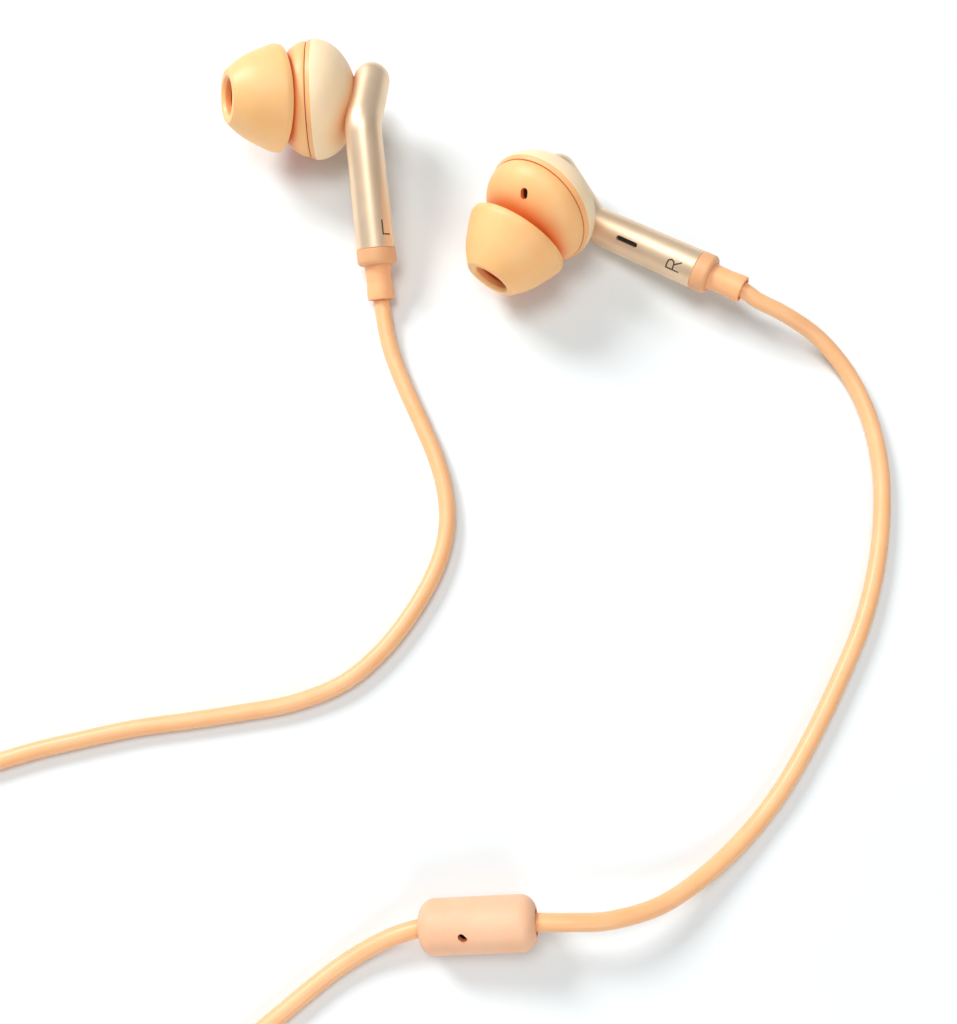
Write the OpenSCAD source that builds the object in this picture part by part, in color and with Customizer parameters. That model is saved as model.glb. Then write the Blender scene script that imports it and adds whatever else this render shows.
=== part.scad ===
// Wired in-ear earphones with bent metal stems, an in-line microphone capsule,
// a three-button remote at the Y-split and a 3.5 mm plug.
// Millimetres, +Z up. The origin is under the middle of the two earbuds, on the
// surface that they lie on.
//
// Each earbud is drawn in its own frame: +X along the housing towards the ear,
// +Y to the side, +Z up, with the stem going down. The left one is a mirror image.

/* [Housing] */
// Radius of the round housing where its two halves meet
housing_r = 7.05; // [6.5:0.05:7.6]
// Depth of the rear dome behind the joint
dome_depth = 5.75; // [5.2:0.05:6.4]
// Depth of the slope that leads from the dome's widest point in to the joint
edge_slope = 0.65; // [0.4:0.05:0.8]
// Radius of the front cup
cup_r = 6.75; // [6.4:0.05:6.9]
// Depth of the front cup in front of the joint
cup_depth = 4.1; // [3.8:0.05:4.4]
// Thickness of the moulded walls
wall = 0.8; // [0.6:0.05:1.0]
// Gap between the two halves, filled by the seal
seal_gap = 0.12; // [0.08:0.01:0.2]

/* [Nozzle and ear tip] */
// Sideways angle of the nozzle
nozzle_yaw = -22; // [-26:1:-16]
// Downward angle of the nozzle
nozzle_pitch = 6.5; // [2:0.5:10]
// Distance from the nozzle's base to its mouth
nozzle_l = 8.2; // [7.6:0.1:8.4]
// Radius of the bead that holds the ear tip
bead_r = 2.6; // [2.4:0.05:2.7]
// Radius of the sound bore
sound_r = 1.75; // [1.5:0.05:1.9]
// Radial clearance between the bead and the ear tip's sleeve
tip_fit = 0.05; // [0.02:0.01:0.1]
// Distance from the nozzle's base to the ear tip's rim
tip_at = 3.65; // [3.6:0.05:4.2]
// Radius of the ear tip at its rim
tip_r = 6.3; // [5.8:0.05:6.6]
// Length of the ear tip
tip_l = 6.3; // [6:0.1:7]

/* [Stem] */
// Length of the stem from its bend to the collar
stem_low = 14.6; // [12:0.1:17]
// Length of the stem from its bend to the centre of its round head
stem_up = 7.2; // [6.5:0.1:8]
// Angle of the bend
stem_bend = 35.5; // [25:0.5:45]
// Radius of the tube at its head
stem_r = 2.18; // [2:0.02:2.3]
// Radius of the tube at the collar
stem_end_r = 2.33; // [2.2:0.01:2.5]
// Thickness of the tube's metal
stem_wall = 0.4; // [0.3:0.05:0.5]
// Length of the port slot
slot_l = 2.8; // [2:0.1:3.4]
// Width of the port slot
slot_w = 0.56; // [0.4:0.02:0.8]

/* [Collar and strain relief] */
// Length of the collar
collar_l = 1.9; // [1.5:0.1:2.5]
// Radius of the collar
collar_r = 2.36; // [2.3:0.02:2.6]
// Length of the strain relief
relief_l = 4.1; // [3.5:0.1:5]
// Radius of the strain relief
relief_r = 1.6; // [1.4:0.05:1.8]

/* [Cord] */
// Diameter of the cord
cord_d = 1.9; // [1.7:0.1:2.1]
// Number of sides of the cord's plain tube
cord_sides = 8; // [6:1:10]
// Height of a coil's underside, which lies on its tie
coil_lift = 0.4; // [0.3:0.05:0.6]

/* [Microphone capsule] */
// Length of the capsule
capsule_l = 12.3; // [11:0.1:14]
// Radius of the capsule
capsule_r = 2.9; // [2.8:0.05:3.2]
// Radius of the rounding at the capsule's ends
capsule_round = 1.7; // [1.2:0.1:2]

/* [Remote] */
// Length of the remote
remote_l = 36; // [34:1:40]
// Width of the remote
remote_w = 10.4; // [10:0.1:12]
// Thickness of the remote
remote_h = 6.4; // [6:0.1:7]
// Travel of each button
button_travel = 0.3; // [0.2:0.05:0.4]
// Clearance round each button
button_gap = 0.12; // [0.08:0.01:0.2]

/* [Plug] */
// Radius of the plug's contacts
contact_r = 1.75; // [1.74:0.01:1.76]
// Length of the plug's contacts
contact_l = 14; // [14:0.5:15]
// Radius of the plug's grip
grip_r = 2.9; // [2.7:0.05:3.3]
// Length of the plug's grip
grip_l = 16; // [13:1:20]

/* [Hidden] */
$fn = 48;
cord_r = cord_d / 2;
eps = 0.01;

// Where each earbud lies, and how it is turned
left_at = [-20.8, 9.4, 7.1];
left_turn = [80, -1.5, -178.5];
right_at = [6.55, -5.7, 7.35];
right_turn = [88.5, -16.5, -129];

// The stem's bend in the earbud's frame, and the turn that points the stem down
bend_at = [-6.5, -3.3, -4.6];
stem_turn = [0, -13, 112];
relief_tip = stem_low + collar_l + relief_l;

// The nozzle's base in the earbud's frame
nozzle_at = [0.3, 0, 0];

// Directions round the stem that the port slot faces, and its height above the collar
slot_turn = 284;
slot_up = 8.8;

// Cord routes, from each exit to the coil and from the coil to the next piece
left_leg_a = [
    [-11, -20.2, 1], [-9.2, -25.2, 0.95], [-7.1, -30, 0.95], [-5.3, -34.4, 0.95],
    [-4.2, -38.6, 0.95], [-4, -42.8, 0.95], [-5, -47.2, 0.95], [-7.4, -52, 0.95],
    [-10.8, -56.7, 0.95], [-15.2, -60.6, 0.95], [-20.8, -62.9, 0.95], [-26.6, -64, 0.95],
    [-32.4, -64.9, 0.95], [-38.2, -65.7, 0.95], [-43.8, -66.9, 0.95], [-49.2, -68.2, 0.95],
    [-54.4, -69.8, 0.95], [-59.4, -71.4, 0.95], [-64.4, -72.9, 1.1], [-69.3, -74.5, 1.35]];
left_leg_b = [
    [-77, -85, 3.25], [-77, -90, 2.5], [-76.2, -95, 1.3], [-73.8, -99.4, 1.1],
    [-71.2, -103.2, 1.8], [-70.3, -107, 2.6], [-70.3, -110.6, 2.6]];
right_upper = [
    [32.5, -16.2, 5], [36, -17.8, 4.3], [40, -20, 2.7], [43.4, -23.8, 1.4],
    [45.6, -29, 0.95], [46.5, -35, 0.95], [46.2, -41.2, 0.95], [45, -47.6, 0.95],
    [42.9, -54, 0.95], [39.9, -60.2, 0.95], [36.6, -66.2, 0.95], [32.9, -72, 0.95],
    [28.8, -76.9, 1], [24, -81.1, 1.7], [18.8, -84.3, 3.1], [13.4, -85.8, 4.5],
    [9.4, -86, 4.95], [5.8, -86, 4.6], [3.55, -86.1, 4.25]];
right_lower_a = [
    [-4.35, -86.5, 3], [-6.8, -86.7, 2.6], [-9.6, -87.6, 2], [-12.6, -89.1, 1.3],
    [-16, -91.3, 0.95], [-20.4, -94.8, 0.95], [-25.9, -99.3, 1], [-31.5, -104, 1.35]];
right_lower_b = [
    [-24.5, -102.5, 3.25], [-30.5, -102.5, 3.2], [-36.5, -102.4, 2.3], [-42.5, -101.9, 1.2],
    [-48.5, -101, 0.95], [-54.5, -100.3, 0.95], [-60, -100.6, 1.1], [-64, -102.6, 1.8],
    [-65.7, -107, 2.6], [-65.7, -110.6, 2.6]];
trunk_a = [
    [-68, -145.4, 2.6], [-68, -149, 2.6], [-67.7, -152.6, 1.6], [-65.6, -156.8, 0.95],
    [-61.4, -159, 0.95], [-56, -159.6, 0.95], [-50, -159.5, 1.1], [-44, -159.4, 1.35]];
trunk_b = [
    [-44, -159.4, 7.05], [-38.6, -159.4, 6.7], [-33.4, -159, 4.9], [-28.2, -158.2, 2.7],
    [-23, -157.4, 1.2], [-18, -156.8, 1.1], [-13.4, -156.3, 2], [-9, -156, 3],
    [-2.6, -156, 3]];

// Coils: centre, inner radius, outer radius and height
left_coil = [[-66, -85], 8.1, 12, 3.8];
right_coil = [[-24.5, -112.5], 8.1, 12, 3.8];
trunk_coil_size = [[-44, -147], 7.6, 13.4, 7.6];
tie_w = 4;
tie_t = 0.4;

// The capsule's and the remote's places
capsule_at = [-0.4, -86.3, 3.6];
capsule_turn = 2.7;
capsule_tilt = 9;
remote_at = [-68, -128, 0];
remote_split = 3.3;
leg_offset = 2.3;
stub_z = 2.6;
stub_l = 3;
stub_r = 1.55;
button_w = 5.2;
button_z = remote_h + 0.35;
button_pitch = 8.6;
plug_at = [-1, -156, 3];
plug_relief_l = 8;

// ---- Placing ----

// The row of rotations that rotate([a, b, c]) makes, applied to one point
function turn_x(v, a) = [v.x, v.y * cos(a) - v.z * sin(a), v.y * sin(a) + v.z * cos(a)];
function turn_y(v, a) = [v.x * cos(a) + v.z * sin(a), v.y, v.z * cos(a) - v.x * sin(a)];
function turn_z(v, a) = [v.x * cos(a) - v.y * sin(a), v.x * sin(a) + v.y * cos(a), v.z];
function turned(v, a) = turn_z(turn_y(turn_x(v, a.x), a.y), a.z);

// A point on the stem's axis, as far below its bend as given, in the model's frame
function on_stem_axis(down) = bend_at + turned([0, 0, -down], stem_turn);
function left_point(p) = left_at + turned([p.x, -p.y, p.z], left_turn);
function right_point(p) = right_at + turned(p, right_turn);

module in_left() {
    translate(left_at) rotate(left_turn) mirror([0, 1, 0]) children();
}

module in_right() {
    translate(right_at) rotate(right_turn) children();
}

// Turns a shape drawn along +Z so that it lies along the housing's +X
module along_x() {
    rotate([0, 90, 0]) children();
}

module along_nozzle() {
    translate(nozzle_at) rotate([0, 0, nozzle_yaw]) rotate([0, 90 + nozzle_pitch, 0]) children();
}

module along_stem() {
    translate(bend_at) rotate(stem_turn) children();
}

// ---- Outlines ----

// A quarter of an ellipse from the rim at [r, 0] to the pole at [0, h]
function quarter(r, h, steps = 24) =
    [for (i = [0:steps]) [r * cos(90 * i / steps), h * sin(90 * i / steps)]];
function backwards(list) = [for (i = [len(list) - 1:-1:0]) list[i]];

// ---- Housing ----

module cup_shell() {
    outer = quarter(cup_r, cup_depth);
    inner = quarter(cup_r - wall, cup_depth - wall);
    along_x() translate([0, 0, seal_gap]) rotate_extrude()
        polygon(concat(outer, backwards(inner)));
}

// The vent hole: a short round-ended slot, square to the cup's surface where it stands
module vent_cutter(depth, grow = 0) {
    translate([3.05, 4.5, 0.96]) rotate([0, 84, 29.5]) rotate([0, 0, 121])
        translate([0, 0, -depth]) for (x = [-0.2, 0.2]) translate([x, 0, 0])
            cylinder(h = depth + 1, r = 0.45 + grow, $fn = 24);
}

module front_housing() {
    color("peachpuff") difference() {
        union() {
            cup_shell();
            difference() {
                along_nozzle() translate([0, 0, 2.6]) cylinder(h = nozzle_l - 2.6, r = bead_r - 0.3);
                along_x() rotate_extrude() polygon(concat(quarter(cup_r - wall - 0.01,
                    cup_depth - wall + seal_gap - 0.01), [[0, 0]]));
            }
            along_nozzle() translate([0, 0, nozzle_l - 1.1]) rotate_extrude()
                polygon([[1.9, 0], [bead_r - 0.3, 0], [bead_r, 0.3], [bead_r, 0.8],
                    [bead_r - 0.3, 1.1], [1.9, 1.1]]);
        }
        along_nozzle() cylinder(h = nozzle_l + 1, r = sound_r);
        vent_cutter(2);
    }
}

module nozzle_mesh() {
    color("dimgray") along_nozzle() translate([0, 0, nozzle_l - 0.7])
        cylinder(h = 0.2, r = sound_r);
}

module vent_mesh() {
    color("black") intersection() {
        vent_cutter(1.2, 0.35);
        along_x() translate([0, 0, seal_gap]) rotate_extrude() polygon(concat(
            quarter(cup_r - wall, cup_depth - wall),
            backwards(quarter(cup_r - wall - 0.15, cup_depth - wall - 0.15))));
    }
}

module housing_seal() {
    color("saddlebrown") along_x() rotate_extrude()
        polygon([[cup_r - wall, 0], [cup_r - 0.15, 0], [cup_r - 0.15, seal_gap],
            [cup_r - wall, seal_gap]]);
}

module rear_housing() {
    outer = [for (p = quarter(housing_r, dome_depth - edge_slope)) [p.x, -edge_slope - p.y]];
    inner = [for (p = quarter(housing_r - 0.95, dome_depth - 0.95)) [p.x, -p.y]];
    color("peachpuff") difference() {
        along_x() rotate_extrude()
            polygon(concat([[cup_r + 0.05, 0]], outer, backwards(inner)));
        along_stem() stem_solid(stem_r, stem_end_r);
        wire_passage(0.75);
    }
}

// The hole that the lead wires take from the stem's head into the housing
module wire_passage(r) {
    translate([-3.4, -0.3, 0.6]) rotate([0, -78, 0]) cylinder(h = 3.6, r = r, $fn = 24);
}

// ---- Driver ----

module driver_frame() {
    color("silver") along_x() rotate_extrude()
        polygon([[1, -2.4], [4.7, -2.4], [4.7, -0.6], [5.7, -0.6], [5.7, 0.5], [5.2, 0.5],
            [5.2, -0.2], [4.3, -0.2], [4.3, -2], [1, -2]]);
}

module driver_magnet() {
    color("gray") along_x() union() {
        translate([0, 0, -1.9]) cylinder(h = 0.4, r = 4.1);
        translate([0, 0, -1.5]) cylinder(h = 1.1, r = 2.7);
        translate([0, 0, -1.5]) difference() {
            cylinder(h = 1.1, r = 4.1);
            translate([0, 0, -eps]) cylinder(h = 1.2, r = 3.3);
        }
    }
}

module diaphragm() {
    color("gold") along_x() union() {
        rotate_extrude() polygon([[5.1, 0.3], [5.1, 0.22], [4.4, 0.22], [3.2, 0.06], [3.2, -0.9],
            [3.05, -0.9], [3.05, 0.1], [1.6, 0.5], [0, 0.62], [0, 0.7], [1.6, 0.6], [3.1, 0.2],
            [4.3, 0.42], [4.5, 0.3]]);
    }
}

// ---- Stem ----

// The bent tube's outside or inside: a round-headed upper limb and a tapered lower limb,
// joined by a ball that is a little larger than the tube
module stem_solid(r, end, below = 0) {
    dome = [for (p = quarter(r, r, 12)) [p.x, stem_up + p.y]];
    rotate([0, stem_bend, 0]) rotate_extrude() polygon(concat([[0, 0], [r, 0]], dome));
    sphere(r = r + 0.03);
    translate([0, 0, -stem_low - below]) cylinder(h = stem_low + below, r1 = end, r2 = r);
}

// A round-ended slot through the tube's wall
module slot_cutter(grow = 0) {
    rotate([0, 0, slot_turn]) translate([1, 0, slot_up - stem_low]) rotate([0, 90, 0]) {
        for (x = [-1, 1]) translate([x * (slot_l - slot_w) / 2, 0, 0])
            cylinder(h = 2, r = slot_w / 2 + grow, $fn = 24);
        translate([-(slot_l - slot_w) / 2, -slot_w / 2 - grow, 0])
            cube([slot_l - slot_w, slot_w + 2 * grow, 2]);
    }
}

module stem() {
    color("tan") difference() {
        along_stem() stem_solid(stem_r, stem_end_r);
        along_stem() stem_solid(stem_r - stem_wall, stem_r - stem_wall, 1);
        along_stem() slot_cutter();
        wire_passage(0.75);
    }
}

module port_mesh() {
    inner_r = stem_r - stem_wall;
    color("black") along_stem() intersection() {
        slot_cutter(0.3);
        translate([0, 0, -stem_low]) difference() {
            cylinder(h = stem_low, r = inner_r);
            translate([0, 0, -1]) cylinder(h = stem_low + 2, r = inner_r - 0.15);
        }
    }
}

// The insulated pair from the ferrule, up the tube and into the driver
module lead_wires() {
    head = bend_at + turned([stem_up * sin(stem_bend), 0, stem_up * cos(stem_bend)], stem_turn);
    color("firebrick") tube([on_stem_axis(stem_low - 1.8), on_stem_axis(8), on_stem_axis(3),
        on_stem_axis(0.6), bend_at + 0.25 * (head - bend_at), bend_at + 0.6 * (head - bend_at),
        [-6.9, -0.6, 0.9], [-6, -0.3, 1.15], [-4.6, -0.3, 0.86], [-3.2, -0.3, 0.56],
        [-2.5, -0.5, 0.4]], 0.3, [0, 1, 0]);
}

module cord_ferrule() {
    color("silver") along_stem() translate([0, 0, -stem_low + 1.6]) difference() {
        cylinder(h = 2, r = 1.3);
        translate([0, 0, -eps]) cylinder(h = 3, r = 0.55);
    }
}

module collar() {
    color("burlywood") along_stem() translate([0, 0, -stem_low - collar_l]) difference() {
        union() {
            rotate_extrude() polygon([[0, 0], [collar_r - 0.45, 0], [collar_r, 0.5],
                [collar_r, collar_l], [0, collar_l]]);
            cylinder(h = collar_l + 1.5, r = stem_r - stem_wall - 0.03);
        }
        translate([0, 0, -1]) cylinder(h = collar_l + 4, r = 0.55);
    }
}

module strain_relief() {
    color("peachpuff") along_stem() translate([0, 0, -relief_tip]) difference() {
        rotate_extrude() polygon([[0, 0], [relief_r - 0.25, 0], [relief_r, 0.25],
            [relief_r - 0.06, relief_l], [0, relief_l]]);
        translate([0, 0, -1]) cylinder(h = relief_l + 1 - 0.4, r = cord_r);
        translate([0, 0, relief_l - 0.6]) cylinder(h = 1, r = 0.55);
        translate([0, 0, -eps]) cylinder(h = 0.3, r = 1.2);
    }
}

// ---- Ear tip ----

module ear_tip() {
    skirt = 0.55;
    outside = [[tip_r - 0.2, -0.05], [tip_r, 0.2], [tip_r - 0.05, 0.8], [5.65, 2.3], [4.85, 4],
        [3.9, 5.4], [3.45, tip_l - 0.4], [3.15, tip_l - 0.08], [2.9, tip_l]];
    bore = [[2.4, tip_l - 0.1], [2.12, tip_l - 0.4], [2.12, 5.2], [bead_r + tip_fit, 5.2],
        [bead_r + tip_fit, 1.1]];
    inside = [[3.3, 1.1], [3.3, 4.7], [4.3, 3.75], [5.1, 2.15], [tip_r - skirt - 0.02, 0.6],
        [tip_r - skirt, -0.05]];
    color("sandybrown") along_nozzle() translate([0, 0, tip_at]) rotate_extrude()
        polygon(concat(outside, bore, inside));
}

// ---- Cords ----

function unit(v) = v / norm(v);
function along(route, i) = unit(route[min(i + 1, len(route) - 1)] - route[max(i - 1, 0)]);

// One ring of a tube, square to the route; ref is any direction well away from the route's
function ring(p, t, r, ref) = let (side = unit(cross(t, ref)), up = cross(side, t))
    [for (k = [0:cord_sides - 1]) p + r * (side * cos(360 * k / cord_sides)
        + up * sin(360 * k / cord_sides))];

module tube(route, r = cord_r, ref = [0, 0, 1]) {
    n = len(route);
    s = cord_sides;
    points = [for (i = [0:n - 1]) each ring(route[i], along(route, i), r, ref)];
    walls = [for (i = [0:n - 2]) for (k = [0:s - 1]) let (a = i * s + k, b = i * s + (k + 1) % s)
        each [[a, b, b + s], [a, b + s, a + s]]];
    first = [[for (k = [s - 1:-1:0]) k]];
    last = [[for (k = [0:s - 1]) (n - 1) * s + k]];
    color("sandybrown") polyhedron(points = points, faces = concat(walls, first, last));
}

module left_leg_cord() {
    tube(concat([left_point(on_stem_axis(stem_low + collar_l + 0.4)),
        left_point(on_stem_axis(relief_tip))], left_leg_a));
    tube(left_leg_b);
}

module right_upper_cord() {
    tube(concat([right_point(on_stem_axis(stem_low + collar_l + 0.4)),
        right_point(on_stem_axis(relief_tip))], right_upper));
}

module right_lower_cord() {
    tube(right_lower_a);
    tube(right_lower_b);
}

module trunk_cord() {
    tube(trunk_a);
    tube(trunk_b);
}

module coil(size) {
    color("sandybrown") translate([size[0].x, size[0].y, coil_lift]) rotate_extrude($fn = 64)
        translate([size[1], 0]) square([size[2] - size[1], size[3]]);
}

// A flat band round a coil's turns, at the angle given
module tie(size, angle) {
    width = size[2] - size[1];
    color("bisque") translate([size[0].x, size[0].y, 0]) rotate([0, 0, angle])
        translate([size[1] - tie_t, -tie_w / 2, 0]) difference() {
            cube([width + 2 * tie_t, tie_w, size[3] + coil_lift + tie_t]);
            translate([tie_t, -1, coil_lift]) cube([width, tie_w + 2, size[3]]);
        }
}

module leg_coil_ties() {
    tie(left_coil, 255);
    tie(right_coil, 300);
}

module trunk_coil_tie() {
    tie(trunk_coil_size, 70);
}

// ---- Microphone capsule ----

module at_capsule() {
    translate(capsule_at) rotate([0, -capsule_tilt, capsule_turn]) children();
}

module capsule_body() {
    flat = capsule_r - capsule_round;
    reach = capsule_l / 2 - capsule_round;
    along_x() rotate_extrude() intersection() {
        union() {
            translate([0, -reach]) square([capsule_r, 2 * reach]);
            translate([0, -capsule_l / 2]) square([flat, capsule_l]);
            for (z = [-reach, reach]) translate([flat, z]) circle(r = capsule_round);
        }
        translate([0, -capsule_l]) square([capsule_r, 2 * capsule_l]);
    }
}

module capsule_hollow() {
    along_x() {
        translate([0, 0, -4.3]) cylinder(h = 8.6, r = capsule_r - 0.8);
        for (z = [-1, 1]) scale([1, 1, z]) {
            translate([0, 0, 3]) cylinder(h = 5, r = cord_r);
            translate([0, 0, capsule_l / 2 - 0.45]) cylinder(h = 1, r = 1.45);
        }
    }
}

module capsule_top_shell() {
    color("bisque") at_capsule() difference() {
        intersection() {
            capsule_body();
            translate([-capsule_l, -5, 0.01]) cube([2 * capsule_l, 10, 5]);
        }
        capsule_hollow();
        translate([-1.25, 0, 0]) rotate([24, 0, 0]) rotate([0, 0, 45]) for (y = [-0.17, 0.17])
            translate([0, y, 1]) cylinder(h = 4, r = 0.36, $fn = 24);
    }
}

module capsule_bottom_shell() {
    color("bisque") at_capsule() difference() {
        intersection() {
            capsule_body();
            translate([-capsule_l, -5, -5.01]) cube([2 * capsule_l, 10, 5]);
        }
        capsule_hollow();
    }
}

module capsule_board() {
    color("seagreen") at_capsule() translate([-3.6, -1.8, -0.6]) cube([7.2, 3.6, 0.5]);
}

module capsule_microphone() {
    color("silver") at_capsule() translate([-2.6, -1.1, -0.1]) difference() {
        cube([2.8, 2, 0.9]);
        translate([1.4, 1, 0.4]) cylinder(h = 1, r = 0.25, $fn = 24);
    }
}

// ---- Remote ----

// A block with round ends, as wide as given, lying along Y
module stadium(w, l, h) {
    for (y = [-1, 1]) translate([0, y * (l - w) / 2, 0]) cylinder(h = h, r = w / 2);
    translate([-w / 2, -(l - w) / 2, 0]) cube([w, l - w, h]);
}

module cord_bores() {
    for (x = [-leg_offset, leg_offset]) translate([x, remote_l / 2 - 3, stub_z])
        rotate([-90, 0, 0]) cylinder(h = 5, r = cord_r);
    translate([0, 3 - remote_l / 2, stub_z]) rotate([90, 0, 0]) cylinder(h = 5, r = cord_r);
}

module remote_front_shell() {
    inner_w = remote_w - 1.6;
    color("bisque") translate(remote_at) difference() {
        hull() {
            translate([0, 0, remote_split]) stadium(remote_w, remote_l, 1.6, $fn = 32);
            translate([0, 0, remote_h - 0.8]) stadium(remote_w - 0.5, remote_l - 0.5, 0.4, $fn = 32);
            translate([0, 0, remote_h - 0.3]) stadium(remote_w - 1.6, remote_l - 1.6, 0.3, $fn = 32);
        }
        translate([0, 0, remote_split - 1])
            stadium(inner_w, remote_l - 6.4, remote_h - remote_split + 0.2);
        for (i = [-1:1]) translate([0, i * button_pitch, remote_split])
            cylinder(h = 5, r = button_w / 2 + button_gap);
        cord_bores();
    }
}

module remote_rear_shell() {
    color("bisque") translate(remote_at) difference() {
        hull() {
            translate([0, 0, remote_split - 1.6 - eps]) stadium(remote_w, remote_l, 1.6, $fn = 32);
            translate([0, 0, 0.4]) stadium(remote_w - 0.5, remote_l - 0.5, 0.4, $fn = 32);
            stadium(remote_w - 1.6, remote_l - 1.6, 0.3, $fn = 32);
        }
        translate([0, 0, 0.8]) stadium(remote_w - 1.6, remote_l - 6.4, remote_split);
        cord_bores();
    }
}

module remote_board() {
    color("seagreen") translate(remote_at) translate([0, 0, 3]) stadium(7.6, 28.4, 0.7);
}

module remote_switches() {
    color("silver") translate(remote_at) for (i = [-1:1])
        translate([0, i * button_pitch, 3.7]) {
            translate([-1.7, -1.7, 0]) cube([3.4, 3.4, 0.5]);
            translate([0, 0, 0.4]) cylinder(h = 0.3, r = 0.9);
        }
}

module remote_reliefs() {
    color("peachpuff") translate(remote_at) difference() {
        union() {
            for (x = [-leg_offset, leg_offset]) translate([x, remote_l / 2, stub_z])
                rotate([-90, 0, 0]) cylinder(h = stub_l, r1 = stub_r + 0.2, r2 = stub_r - 0.15);
            translate([0, -remote_l / 2, stub_z]) rotate([90, 0, 0])
                cylinder(h = stub_l, r1 = stub_r + 0.4, r2 = stub_r - 0.15);
        }
        cord_bores_long();
    }
}

module cord_bores_long() {
    for (x = [-leg_offset, leg_offset]) translate([x, remote_l / 2 - 1, stub_z])
        rotate([-90, 0, 0]) cylinder(h = 6, r = cord_r);
    translate([0, 1 - remote_l / 2, stub_z]) rotate([90, 0, 0]) cylinder(h = 6, r = cord_r);
}

// A button cap with a flange that keeps it in the shell
module button(place) {
    flange_h = 0.45;
    flange_z = remote_h - 0.8 - 0.06 - flange_h;
    color("tan") translate(remote_at) translate([0, place * button_pitch, 0]) {
        translate([0, 0, flange_z]) cylinder(h = flange_h, r = button_w / 2 + 0.5);
        translate([0, 0, flange_z + flange_h - eps])
            cylinder(h = button_z - flange_z - flange_h - 0.3 + eps, r = button_w / 2);
        translate([0, 0, button_z - 0.3])
            cylinder(h = 0.3, r1 = button_w / 2, r2 = button_w / 2 - 0.3);
    }
}

module volume_up_button() {
    button(1);
}

module play_button() {
    button(0);
}

module volume_down_button() {
    button(-1);
}

// ---- Plug ----

module at_plug() {
    translate(plug_at) along_x() children();
}

module plug_relief() {
    color("peachpuff") at_plug() translate([0, 0, -plug_relief_l]) difference() {
        cylinder(h = plug_relief_l, r1 = 1.35, r2 = 2.1);
        translate([0, 0, -1]) cylinder(h = plug_relief_l - 0.6, r = cord_r);
    }
}

module plug_grip() {
    color("bisque") at_plug() difference() {
        rotate_extrude() polygon([[0, 0], [grip_r - 0.5, 0], [grip_r, 0.5],
            [grip_r, grip_l - 0.6], [grip_r - 0.6, grip_l], [0, grip_l]]);
        translate([0, 0, 3]) cylinder(h = grip_l, r = root_r);
    }
}

// Contact lengths from the grip: sleeve, ring, ring, tip, with insulators between them
sleeve_end = 4.9;
ring_l = 2.2;
insulator_l = 0.6;
tip_base = sleeve_end + 2 * insulator_l + 2 * ring_l;

// The core and the sleeve's root start this far into the grip
root_from = 4;
root_r = 1.4;

module plug_core() {
    color("dimgray") at_plug() translate([0, 0, root_from])
        cylinder(h = grip_l - root_from + tip_base + 1.05, r = 0.6);
}

module contact(from, length) {
    at_plug() translate([0, 0, grip_l + from]) difference() {
        cylinder(h = length, r = contact_r);
        translate([0, 0, -1]) cylinder(h = length + 2, r = 0.6);
    }
}

module plug_sleeve() {
    color("gold") {
        contact(0, sleeve_end);
        at_plug() translate([0, 0, root_from]) difference() {
            cylinder(h = grip_l - root_from, r = root_r);
            translate([0, 0, -1]) cylinder(h = grip_l, r = 0.6);
        }
    }
}

module plug_rings() {
    color("gold") for (i = [0, 1])
        contact(sleeve_end + insulator_l + i * (ring_l + insulator_l), ring_l - insulator_l * i);
}

module plug_insulators() {
    second = sleeve_end + insulator_l + ring_l;
    color("black") for (z = [sleeve_end, second, second + ring_l])
        contact(z, insulator_l);
}

module plug_tip() {
    length = contact_l - tip_base;
    color("gold") at_plug() translate([0, 0, grip_l + tip_base]) rotate_extrude()
        polygon([[0.6, 0], [contact_r, 0], [contact_r, 0.4], [1.2, 0.9], [1.2, 1.1],
            [contact_r, 2], [0.9, length - 0.4], [0.5, length], [0, length], [0, 1.1],
            [0.6, 1.1]]);
}

in_left() ear_tip();  // left_ear_tip
in_left() nozzle_mesh();  // left_nozzle_mesh
in_left() front_housing();  // left_front_housing
in_left() vent_mesh();  // left_vent_mesh
in_left() housing_seal();  // left_housing_seal
in_left() driver_frame();  // left_driver_frame
in_left() driver_magnet();  // left_driver_magnet
in_left() diaphragm();  // left_diaphragm
in_left() rear_housing();  // left_rear_housing
in_left() stem();  // left_stem
in_left() port_mesh();  // left_port_mesh
in_left() lead_wires();  // left_lead_wires
in_left() cord_ferrule();  // left_cord_ferrule
in_left() collar();  // left_collar
in_left() strain_relief();  // left_strain_relief
in_right() ear_tip();  // right_ear_tip
in_right() nozzle_mesh();  // right_nozzle_mesh
in_right() front_housing();  // right_front_housing
in_right() vent_mesh();  // right_vent_mesh
in_right() housing_seal();  // right_housing_seal
in_right() driver_frame();  // right_driver_frame
in_right() driver_magnet();  // right_driver_magnet
in_right() diaphragm();  // right_diaphragm
in_right() rear_housing();  // right_rear_housing
in_right() stem();  // right_stem
in_right() port_mesh();  // right_port_mesh
in_right() lead_wires();  // right_lead_wires
in_right() cord_ferrule();  // right_cord_ferrule
in_right() collar();  // right_collar
in_right() strain_relief();  // right_strain_relief
left_leg_cord();
coil(left_coil);  // left_leg_coil
right_upper_cord();
right_lower_cord();
coil(right_coil);  // right_leg_coil
trunk_cord();
coil(trunk_coil_size);  // trunk_coil
leg_coil_ties();
trunk_coil_tie();
capsule_top_shell();
capsule_bottom_shell();
capsule_board();
capsule_microphone();
remote_front_shell();
remote_rear_shell();
remote_board();
remote_switches();
remote_reliefs();
volume_up_button();
play_button();
volume_down_button();
plug_relief();
plug_grip();
plug_core();
plug_sleeve();
plug_rings();
plug_tip();
plug_insulators();
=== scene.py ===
"""Wired in-ear earphones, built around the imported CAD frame.

Sizes are in millimetres and turned into metres by MM. Each earbud is drawn in its own frame,
as in the CAD: +X along the housing towards the ear, and the stem going down.
"""

import math

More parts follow.
